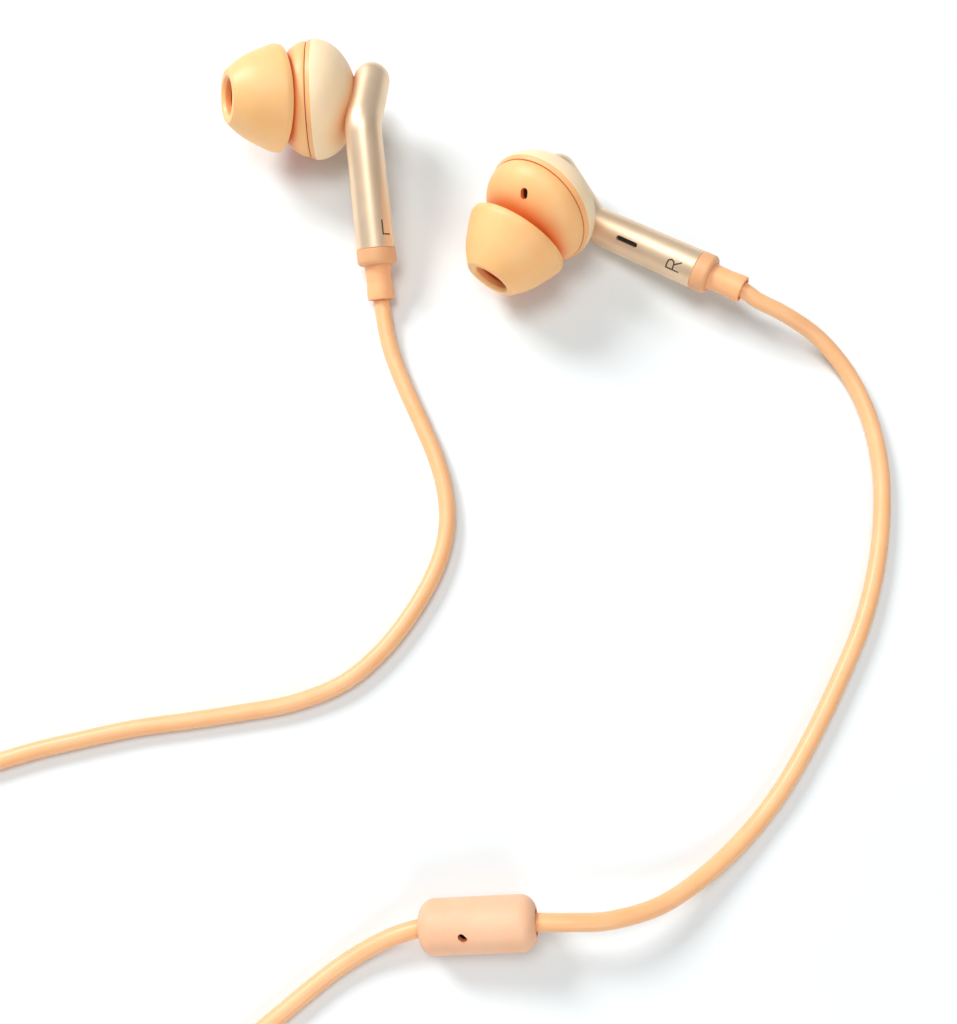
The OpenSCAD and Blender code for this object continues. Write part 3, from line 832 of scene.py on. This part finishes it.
def make_rear_housing(side):
    """The round dome: its front edge slopes in to the joint."""
    outer = [(r, -EDGE_SLOPE - z)
             for r, z in ellipse_arc(HOUSING_R, DOME_DEPTH - EDGE_SLOPE, 0, 90, 48)]
    inner = [(r, -z)
             for r, z in ellipse_arc(HOUSING_R - DOME_WALL, DOME_DEPTH - DOME_WALL, 90, 0, 30)]
    corners = [(r, z, 0) for r, z in inner]
    corners += [(CUP_R + 0.06, 0, 0.05), (HOUSING_R + 0.002, 0.06 - EDGE_SLOPE, 0.16)]
    corners += [(r, z, 0) for r, z in outer[1:]]
    dome = finish_mesh(
        f"{side}_rear_dome", lathe(filleted(corners), 128), bud_frame(side) @ LATHE_TO_X,
        "dome", [f"{side}_rear_housing"]
    )
    # The sloping front edge takes the darker edge material, which is partly painted shade
    dome.data.materials.append(MATERIALS["edge"])
    axis = bud_frame(side).to_3x3() @ Vector((1, 0, 0))
    centre = Vector(BUD_AT[side]) * MM
    for polygon in dome.data.polygons:
        if (polygon.center - centre).dot(axis) > (0.12 - EDGE_SLOPE) * MM:
            polygon.material_index = 1
    return dome


# ---- Stem ----


STEM_SWEEP = 3.2


def stem_line():
    """The tube's centre line in the stem's frame, from the collar up to the head's centre."""
    bend = math.radians(STEM_BEND)
    reach = STEM_SWEEP * math.tan(bend / 2)
    line = [Vector((0, 0, -STEM_LOW + (STEM_LOW - reach) * i / 16)) for i in range(16)]
    for i in range(15):
        a = bend * i / 14
        line.append(Vector((STEM_SWEEP * (1 - math.cos(a)), 0, STEM_SWEEP * math.sin(a) - reach)))
    up = Vector((math.sin(bend), 0, math.cos(bend)))
    line += [up * (reach + (STEM_UP - reach) * i / 6) for i in range(1, 7)]
    return line


def tube_skin(mesh, line, radii, steps=96):
    """Rings round a line in the XZ plane, rounded off by half a ball at the line's end."""
    up = (line[-1] - line[-2]).normalized()
    top, top_r = line[-1], radii[-1]
    centres = list(zip(line, radii))
    for i in range(1, 15):
        a = math.radians(6 * i)
        centres.append((top + up * top_r * math.sin(a), top_r * math.cos(a)))
    rings = []
    for i, (centre, radius) in enumerate(centres):
        ahead = centres[min(i + 1, len(centres) - 1)][0]
        along = (ahead - centres[max(i - 1, 0)][0]).normalized()
        side = Vector((0, 1, 0))
        across = side.cross(along)
        rings.append([
            mesh.verts.new(centre + radius * (side * math.cos(2 * math.pi * k / steps)
                                              + across * math.sin(2 * math.pi * k / steps)))
            for k in range(steps)
        ])
    join_rings(mesh, rings)
    pole = mesh.verts.new(top + up * top_r)
    last = rings[-1]
    for k in range(steps):
        mesh.faces.new((last[k], last[(k + 1) % steps], pole))
    return rings[0]


def join_rings(mesh, rings):
    """Faces between each ring and the next."""
    for here, there in zip(rings, rings[1:]):
        count = len(here)
        for k in range(count):
            mesh.faces.new((here[k], here[(k + 1) % count], there[(k + 1) % count], there[k]))


def make_stem(side):
    """The bent metal tube with its round head, and the slot through its wall."""
    line = stem_line()
    lengths = [0]
    for a, b in zip(line, line[1:]):
        lengths.append(lengths[-1] + (b - a).length)
    radii = [STEM_END_R + (STEM_R - STEM_END_R) * min(s / STEM_LOW, 1) for s in lengths]
    radii[0] -= 0.1
    line.insert(1, line[0] + Vector((0, 0, 0.1)))
    radii.insert(1, STEM_END_R)
    mesh = bmesh.new()
    outer = tube_skin(mesh, line, radii)
    inner = tube_skin(mesh, line, [STEM_R - STEM_WALL] * len(line))
    join_rings(mesh, [outer, inner])
    bmesh.ops.recalc_face_normals(mesh, faces=mesh.faces)
    slot = moved(
        pill(SLOT_L, SLOT_W, 2.4),
        turned((0, 0, SLOT_TURN)) @ shift((STEM_R, 0, SLOT_UP - STEM_LOW))
        @ turned((0, 90, 0))
    )
    return finish_mesh(
        f"{side}_stem_tube", cut(mesh, [slot]), bud_frame(side) @ STEM, "metal",
        [f"{side}_stem"]
    )


LETTERS = {
    "right": [
        [(0, 0), (0, 1), (0.38, 1), (0.57, 0.95), (0.67, 0.76), (0.57, 0.56), (0.38, 0.5),
         (0.03, 0.5)],
        [(0.38, 0.5), (0.73, 0)],
    ],
    "left": [[(0, 1), (0, 0), (0.6, 0)]],
}
STROKE = 0.08
HALF_LETTER = 0.36
INK_UP = 0.015
INK_DOWN = 0.05


def ribbon(mesh, stroke, place):
    """A thin flat line along a stroke; place turns (across, up, out) into a point."""
    rows = []
    for i, here in enumerate(stroke):
        here = Vector(here)
        before = here - Vector(stroke[i - 1]) if i else Vector(stroke[1]) - here
        after = Vector(stroke[i + 1]) - here if i + 1 < len(stroke) else before
        way = (before.normalized() + after.normalized()).normalized()
        side = Vector((-way.y, way.x)) * STROKE / max(way.dot(before.normalized()), 0.5)
        edges = ((side, INK_UP), (-side, INK_UP), (-side, -INK_DOWN), (side, -INK_DOWN))
        rows.append([mesh.verts.new(place(*(here + off), out)) for off, out in edges])
    join_rings(mesh, rows)
    mesh.faces.new(rows[0])
    mesh.faces.new(rows[-1][::-1])


def make_mark(side):
    """The plain letter for the side, printed round the stem."""
    radius = STEM_END_R + (STEM_R - STEM_END_R) * MARK_UP / STEM_LOW
    way = -1 if side == "left" else 1

    def place(across, up, out):
        a = math.radians(MARK_TURN[side]) + way * (across - HALF_LETTER * MARK_H) / radius
        reach = radius + out
        return (reach * math.cos(a), reach * math.sin(a), MARK_UP - STEM_LOW + up - MARK_H / 2)

    mesh = bmesh.new()
    for stroke in LETTERS[side]:
        big = [(x * MARK_H, y * MARK_H) for x, y in stroke]
        fine = []
        for (ax, ay), (bx, by) in zip(big, big[1:]):
            fine += [(ax + (bx - ax) * i / 3, ay + (by - ay) * i / 3) for i in range(3)]
        ribbon(mesh, fine + [big[-1]], place)
    bmesh.ops.recalc_face_normals(mesh, faces=mesh.faces)
    return finish_mesh(
        f"{side}_side_letter", mesh, bud_frame(side) @ STEM, "ink", []
    )


# ---- Collar and strain relief ----

LEAD_HOLE_R = 0.55
PLUG_UP = 1.5


def make_collar(side):
    """A soft band, rounded at its lower edge, with a plug that goes up into the tube."""
    low = -STEM_LOW - COLLAR_L
    inner = STEM_R - STEM_WALL - 0.03
    corners = [
        (LEAD_HOLE_R, low, 0), (COLLAR_R, low, 0.55), (COLLAR_R, -STEM_LOW, 0.1),
        (inner, -STEM_LOW, 0.02), (inner, PLUG_UP - STEM_LOW, 0.1),
        (LEAD_HOLE_R, PLUG_UP - STEM_LOW, 0),
    ]
    return finish_mesh(
        f"{side}_stem_collar", lathe(filleted(corners)), bud_frame(side) @ STEM,
        "collar", [f"{side}_collar"]
    )


def make_relief(side):
    """A short tapered sleeve with a rolled lip, which the cord goes into."""
    base = -RELIEF_TIP
    top = base + RELIEF_L
    hole = CORD_R - 0.02
    corners = [
        (hole, base + 0.45, 0.05), (1.2, base + 0.28, 0.12), (1.26, base, 0.12),
        (RELIEF_R, base, 0.22), (RELIEF_R, base + 0.9, 0.6), (RELIEF_R - 0.1, base + 2, 0.6),
        (RELIEF_R - 0.06, top - 0.25, 0.2), (RELIEF_R + 0.02, top, 0),
        (LEAD_HOLE_R, top, 0), (LEAD_HOLE_R, top - CORD_STOP, 0), (hole, top - CORD_STOP, 0),
    ]
    return finish_mesh(
        f"{side}_cord_relief", lathe(filleted(corners)), bud_frame(side) @ STEM,
        "relief", [f"{side}_strain_relief"]
    )


for side in SIDES:
    make_ear_tip(side)
    make_front_housing(side)
    make_rear_housing(side)
    make_stem(side)
    make_mark(side)
    make_collar(side)
    make_relief(side)


# ---- Microphone capsule ----


def make_capsule():
    """A round-ended barrel in two shells, with a pinhole and a recess at each end."""
    half = CAPSULE_L / 2
    hollow_half = 4.3
    hollow_r = CAPSULE_R - WALL
    shells = []
    for name, keep in (("top", 1), ("bottom", -1)):
        end = [(CAPSULE_R - CAPSULE_ROUND + x, half - CAPSULE_ROUND + z)
               for x, z in ellipse_arc(CAPSULE_ROUND, CAPSULE_ROUND, 0, 80, 16)]
        end += [(1.44, half - 0.02), (1.38, half - 0.06), (1.36, half - 0.9), (CORD_R, half - 1)]
        outline = [(r, -z) for r, z in end[::-1]] + end
        outline += [(CORD_R, hollow_half), (hollow_r, hollow_half),
                    (hollow_r, -hollow_half), (CORD_R, -hollow_half)]
        barrel = moved(lathe(outline, 128), LATHE_TO_X)
        other = moved(box_mesh((30, 12, 12)), shift((0, 0, -6.005 * keep)))
        hole = moved(
            pill(1.06, 0.72, 5),
            shift((-1.25, 0, 0)) @ turned((24, 0, 0))
            @ shift((0, 0, 3.5)) @ turned((0, 0, -45))
        )
        shells.append(finish_mesh(
            f"capsule_{name}_half", cut(barrel, [hole, other]), CAPSULE, "capsule",
            [f"capsule_{name}_shell"]
        ))
    return shells


def box_mesh(size):
    """A box of that size, centred, for cutting with."""
    mesh = bmesh.new()
    bmesh.ops.create_cube(mesh, size=1, matrix=Matrix.Diagonal((*size, 1)))
    return mesh


capsule_shells = make_capsule()


# ---- Remote ----


def stadium(width, length, z):
    """A ring of points round a shape with round ends, which lies along Y."""
    points = []
    for end in (1, -1):
        for k in range(25):
            a = math.radians(7.5 * k + (0 if end == 1 else 180))
            points.append((width / 2 * math.cos(a),
                           end * (length - width) / 2 + width / 2 * math.sin(a), z))
    return points


def loft(rings):
    """A solid through rings of points, closed at both ends."""
    mesh = bmesh.new()
    made = [[mesh.verts.new(p) for p in ring] for ring in rings]
    join_rings(mesh, made)
    mesh.faces.new(made[0][::-1])
    mesh.faces.new(made[-1])
    bmesh.ops.recalc_face_normals(mesh, faces=mesh.faces)
    return mesh


def remote_solid(edge, split_z, outer_z, radius):
    """Half of the remote: flat at the split, rounded at its outer face."""
    way = 1 if outer_z > split_z else -1
    steps = [(edge, split_z), (0, split_z + way * edge)]
    for i in range(9):
        a = math.radians(90 * i / 8)
        steps.append((radius * (1 - math.cos(a)),
                      outer_z - way * radius * (1 - math.sin(a))))
    return loft([stadium(REMOTE_W - 2 * inset, REMOTE_L - 2 * inset, z) for inset, z in steps])


def remote_bores():
    """What cuts the three holes for the cords."""
    made = []
    for x, y, turn in ((LEG_OFFSET, 1, -90), (-LEG_OFFSET, 1, -90), (0, -1, 90)):
        bore = lathe([(0, -3), (CORD_R, -3), (CORD_R, 2), (0, 2)], 32)
        place = shift((x, y * REMOTE_L / 2, STUB_Z)) @ turned((turn, 0, 0))
        made.append(moved(bore, place))
    return made


def make_remote():
    """Two shells with a fine joint, three button holes and bores for the cords."""
    place = shift(REMOTE_AT)
    top = remote_solid(0.1, REMOTE_SPLIT + 0.01, REMOTE_H, 1.2)
    room = (REMOTE_W - 2 * REMOTE_WALL, REMOTE_L - 6.4)
    cavity = loft([stadium(*room, z) for z in (REMOTE_SPLIT - 1, REMOTE_H - REMOTE_WALL)])
    holes = [
        moved(lathe([(0, 0), (BUTTON_W / 2 + 0.12, 0), (BUTTON_W / 2 + 0.12, 5), (0, 5)], 96),
              shift((0, i * BUTTON_PITCH, REMOTE_SPLIT)))
        for i in (-1, 0, 1)
    ]
    back = remote_solid(0.1, REMOTE_SPLIT - 0.01, 0, 1.0)
    back_cavity = loft([stadium(*room, z) for z in (REMOTE_WALL, REMOTE_SPLIT + 1)])
    return [
        finish_mesh("remote_front", cut(top, [cavity, *holes, *remote_bores()]), place,
                    "capsule", ["remote_front_shell"], sharp=30),
        finish_mesh("remote_back", cut(back, [back_cavity, *remote_bores()]), place,
                    "capsule", ["remote_rear_shell"], sharp=30),
    ]


def make_remote_reliefs():
    """Three short ringed sleeves where the cords go in."""
    made = []
    spots = (("left", -LEG_OFFSET, 1, -90), ("right", LEG_OFFSET, 1, -90), ("trunk", 0, -1, 90))
    for name, x, way, turn in spots:
        wide = 1.95 if name == "trunk" else 1.75
        narrow = 1.4
        corners = [(CORD_R, 0, 0), (wide, 0, 0.05)]
        for i in range(3):
            z = 0.55 + 0.75 * i
            radius = wide + (narrow - wide) * z / STUB_L
            corners += [(radius, z, 0.12), (radius - 0.22, z + 0.08, 0.06),
                        (radius - 0.22, z + 0.3, 0.06), (radius, z + 0.38, 0.12)]
        corners += [(narrow, STUB_L, 0.2), (CORD_R, STUB_L, 0.03)]
        place = shift(REMOTE_AT + Vector((x, way * REMOTE_L / 2, STUB_Z))) @ turned((turn, 0, 0))
        made.append(finish_mesh(
            f"remote_{name}_relief", lathe(filleted(corners, 4), 64), place,
            "relief", ["remote_reliefs"] if name == "trunk" else []
        ))
    return made


BUTTON_UP = 0.35
DISH_DEPTH = 0.16
FLANGE_T = 0.45
FLANGE_DROP = 0.51


def make_button(name, spot):
    """A dished round key with a raised sign: plus, dot or minus."""
    top = REMOTE_H + BUTTON_UP
    flange_z = REMOTE_H - REMOTE_WALL - FLANGE_DROP
    radius = BUTTON_W / 2
    flange_r = radius + 0.5
    dish_r = radius - 0.5
    dish = [(dish_r - dish_r * i / 10, top - DISH_DEPTH * (1 - (1 - i / 10) ** 2), 0)
            for i in range(11)]
    corners = [(0, flange_z, 0), (flange_r, flange_z, 0.05), (flange_r, flange_z + FLANGE_T, 0.05),
               (radius, flange_z + FLANGE_T, 0.04), (radius, top, 0.28)] + dish
    mesh = lathe(filleted(corners), 96)
    floor_z = top - DISH_DEPTH
    bars = {"volume_up": (0, 90), "volume_down": (0,), "play": ()}[name]
    for i, turn in enumerate(bars):
        spot_z = floor_z + 0.02 * (i + 1)
        bar = moved(pill(1.9, 0.36, 0.2), turned((0, 0, turn)) @ shift((0, 0, spot_z)))
        mesh = joined(mesh, bar)
    if not bars:
        dot = [(0, floor_z - 0.1), (0.42, floor_z - 0.1), (0.42, floor_z + 0.06),
               (0.3, floor_z + 0.13), (0, floor_z + 0.15)]
        mesh = joined(mesh, lathe(dot, 48))
    place = shift(REMOTE_AT + Vector((0, spot * BUTTON_PITCH, 0)))
    return finish_mesh(f"{name}_key", mesh, place, "metal", [f"{name}_button"],
                       body=name, sharp=30)


def joined(one, two):
    """Both bmeshes in one."""
    data = bpy.data.meshes.new("part")
    two.to_mesh(data)
    two.free()
    one.from_mesh(data)
    bpy.data.meshes.remove(data)
    return one


remote_pieces = make_remote() + make_remote_reliefs()
for spot, name in ((1, "volume_up"), (0, "play"), (-1, "volume_down")):
    remote_pieces.append(make_button(name, spot))
remote_pieces += [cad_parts["remote_board"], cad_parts["remote_switches"]]


# ---- Plug ----

SLEEVE_END = 4.9
RING_L = 2.2
INSULATOR_L = 0.6
TIP_BASE = SLEEVE_END + 2 * INSULATOR_L + 2 * RING_L
CORE_R = 0.6


def plug_part(name, mesh, look, nodes):
    return finish_mesh(name, mesh, PLUG, look, nodes, sharp=30)


def make_plug_relief():
    corners = [(CORD_R, -PLUG_RELIEF_L, 0.03), (1.35, -PLUG_RELIEF_L, 0.2)]
    for i in range(5):
        z = -PLUG_RELIEF_L + 0.9 + 1.25 * i
        radius = 1.35 + 0.75 * (z + PLUG_RELIEF_L) / PLUG_RELIEF_L
        corners += [(radius, z, 0.15), (radius - 0.28, z + 0.1, 0.08),
                    (radius - 0.28, z + 0.45, 0.08), (radius + 0.03, z + 0.55, 0.15)]
    corners += [(2.1, 0, 0), (CORD_R, 0, 0)]
    return plug_part("plug_cord_relief", lathe(filleted(corners, 4)), "relief", ["plug_relief"])


def make_plug_grip():
    """A round grip, with a fine line near its front and a slight waist."""
    corners = [
        (1.0, 0, 0), (GRIP_R, 0, 0.6), (GRIP_R, 3.2, 4), (GRIP_R - 0.22, 7.5, 9),
        (GRIP_R, 12, 4), (GRIP_R, 13.4, 0.06), (GRIP_R - 0.12, 13.46, 0.03),
        (GRIP_R - 0.12, 13.66, 0.03), (GRIP_R, 13.72, 0.06), (GRIP_R, GRIP_L, 0.7),
        (1.4, GRIP_L, 0), (1.4, 3, 0), (1.0, 3, 0),
    ]
    return plug_part("plug_grip_sleeve", lathe(filleted(corners, 8)), "capsule", ["plug_grip"])


def contact(start, length, edge=0.06):
    """A contact ring round the plug's core, its edges eased."""
    z = GRIP_L + start
    corners = [(CORE_R, z, 0), (CONTACT_R, z, edge), (CONTACT_R, z + length, edge),
               (CORE_R, z + length, 0)]
    return lathe(filleted(corners, 3))


def make_contacts():
    """Sleeve, two rings and tip, with an insulator before each of the last three."""
    root = [(CORE_R, 4), (1.38, 4), (1.38, GRIP_L), (CORE_R, GRIP_L)]
    sleeve = joined(contact(0, SLEEVE_END), lathe(root, 48))
    first = SLEEVE_END + INSULATOR_L
    second = first + RING_L + INSULATOR_L
    rings = joined(contact(first, RING_L), contact(second, RING_L - INSULATOR_L))
    gaps = contact(SLEEVE_END, INSULATOR_L, 0.01)
    gaps = joined(gaps, contact(first + RING_L, INSULATOR_L, 0.01))
    gaps = joined(gaps, contact(TIP_BASE - INSULATOR_L, INSULATOR_L, 0.01))
    z = GRIP_L + TIP_BASE
    end = GRIP_L + CONTACT_L
    tip = [
        (CORE_R, z, 0), (CONTACT_R, z, 0.05), (CONTACT_R, z + 0.4, 0.15), (1.2, z + 1, 0.25),
        (CONTACT_R, z + 2, 0.4), (0.95, end - 0.3, 0.5), (0.5, end, 0.3), (0, end, 0),
        (0, z + 1.1, 0), (CORE_R, z + 1.1, 0),
    ]
    return [
        plug_part("plug_sleeve_contact", sleeve, "gold", ["plug_sleeve"]),
        plug_part("plug_ring_contacts", rings, "gold", ["plug_rings"]),
        plug_part("plug_gap_rings", gaps, "black", ["plug_insulators"]),
        plug_part("plug_tip_contact", lathe(filleted(tip, 6)), "gold", ["plug_tip"]),
    ]


plug_pieces = [make_plug_relief(), make_plug_grip(), *make_contacts(),
               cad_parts["plug_core"]]


# ---- Ties ----

TIE_W = 4
TIE_T = 0.4


def make_tie(name, centre, inner, outer, height, angle, nodes):
    """A flat soft band round a coil's turns, with a stud where its ends meet."""
    loop = filleted([
        (inner, COIL_LIFT, 0.7), (outer, COIL_LIFT, 0.7),
        (outer, COIL_LIFT + height, 0.7), (inner, COIL_LIFT + height, 0.7),
    ], 6)
    section = filleted([(0, -TIE_W / 2, 0), (TIE_T - 0.02, -TIE_W / 2, 0.15),
                        (TIE_T - 0.02, TIE_W / 2, 0.15), (0, TIE_W / 2, 0)], 3)
    mesh = bmesh.new()
    rings = []
    for i, here in enumerate(loop):
        way = (Vector(loop[(i + 1) % len(loop)]) - Vector(loop[i - 1])).normalized()
        out = Vector((way.y, -way.x))
        rings.append([
            mesh.verts.new((here[0] + out.x * off, wide, here[1] + out.y * off))
            for off, wide in section
        ])
    join_rings(mesh, rings + [rings[0]])
    bmesh.ops.recalc_face_normals(mesh, faces=mesh.faces)
    top = COIL_LIFT + height + TIE_T - 0.05
    stud = lathe(filleted([(0, top - 0.2, 0), (1.15, top - 0.2, 0), (1.15, top + 0.05, 0.1),
                           (0.7, top + 0.05, 0.1), (0.6, top - 0.02, 0.03), (0, top - 0.02, 0)],
                          3), 40)
    mesh = joined(mesh, moved(stud, shift(((inner + outer) / 2, 0, 0))))
    place = shift((*centre, 0)) @ turned((0, 0, angle))
    return finish_mesh(name, mesh, place, "tie", nodes, sharp=30)


left_tie = make_tie("left_leg_tie", LEFT_COIL_AT, inner=8.1, outer=12, height=3.8,
                    angle=255, nodes=["leg_coil_ties"])
right_tie = make_tie("right_leg_tie", RIGHT_COIL_AT, inner=8.1, outer=12, height=1.9,
                     angle=300, nodes=[])
trunk_tie = make_tie("trunk_tie", TRUNK_COIL_AT, inner=7.6, outer=13.4, height=7.6,
                     angle=70, nodes=["trunk_coil_tie"])


# ---- Cords, in place ----


def lay_cords():
    """The four cords, each from the piece that it leaves to the piece that it ends in."""
    left = make_cord(
        "left_leg", cord_root("left") + LEFT_LEG_A + left_coil_points()[1:-1] + LEFT_LEG_B,
        ["left_leg_cord", "left_leg_coil"], "fitting", "coiled"
    )
    upper = make_cord(
        "right_upper", cord_root("right") + RIGHT_UPPER, ["right_upper_cord"], "fitting", "loose"
    )
    lower = make_cord(
        "right_lower", RIGHT_LOWER_A + right_coil_points()[1:-1] + RIGHT_LOWER_B,
        ["right_lower_cord", "right_leg_coil"], "fitting", "coiled"
    )
    trunk = make_cord(
        "trunk", TRUNK_A + trunk_coil_points()[1:-1] + TRUNK_B,
        ["trunk_cord", "trunk_coil"], "plug", "coiled"
    )


lay_cords()


# ---- Floor, light and finish ----


def make_floor():
    mesh = bmesh.new()
    bmesh.ops.create_grid(mesh, x_segments=1, y_segments=1, size=1.5)
    data = bpy.data.meshes.new("floor")
    mesh.to_mesh(data)
    mesh.free()
    floor = bpy.data.objects.new("floor", data)
    bpy.context.scene.collection.objects.link(floor)
    made = Surface("floor_paper", 0.8, Specular_IOR_Level=0.2)
    made.mottled((236, 241, 242), (238, 243, 244), 20)
    data.materials.append(made.material)


LIGHT_AIM = Vector((0, -0.03, 0))


def add_light(name, place, size, power):
    """A square soft light that faces the earbuds."""
    data = bpy.data.lights.new(name, "AREA")
    data.size = size
    data.energy = power
    light = bpy.data.objects.new(name, data)
    light.location = place
    aim = LIGHT_AIM - Vector(place)
    light.rotation_euler = aim.to_track_quat("-Z", "Y").to_euler()
    bpy.context.scene.collection.objects.link(light)


# Name, place in metres, size in metres and power in watts
LIGHTS = (
    ("top", (-0.1, 0.02, 0.7), 0.3, 1.9),
    ("key", (-0.42, 0.36, 0.45), 0.25, 4.3),
    ("fill", (0.15, -0.5, 0.33), 0.3, 1.1),
)


def light_scene():
    """Three soft lights over a pale surround."""
    for row in LIGHTS:
        add_light(*row)
    world = bpy.data.worlds.new("studio")
    world.use_nodes = True
    back = world.node_tree.nodes["Background"]
    back.inputs["Color"].default_value = (0.95, 0.98, 1, 1)
    back.inputs["Strength"].default_value = 0.25
    bpy.context.scene.world = world
    bpy.context.scene.view_settings.view_transform = "Standard"


make_floor()
light_scene()
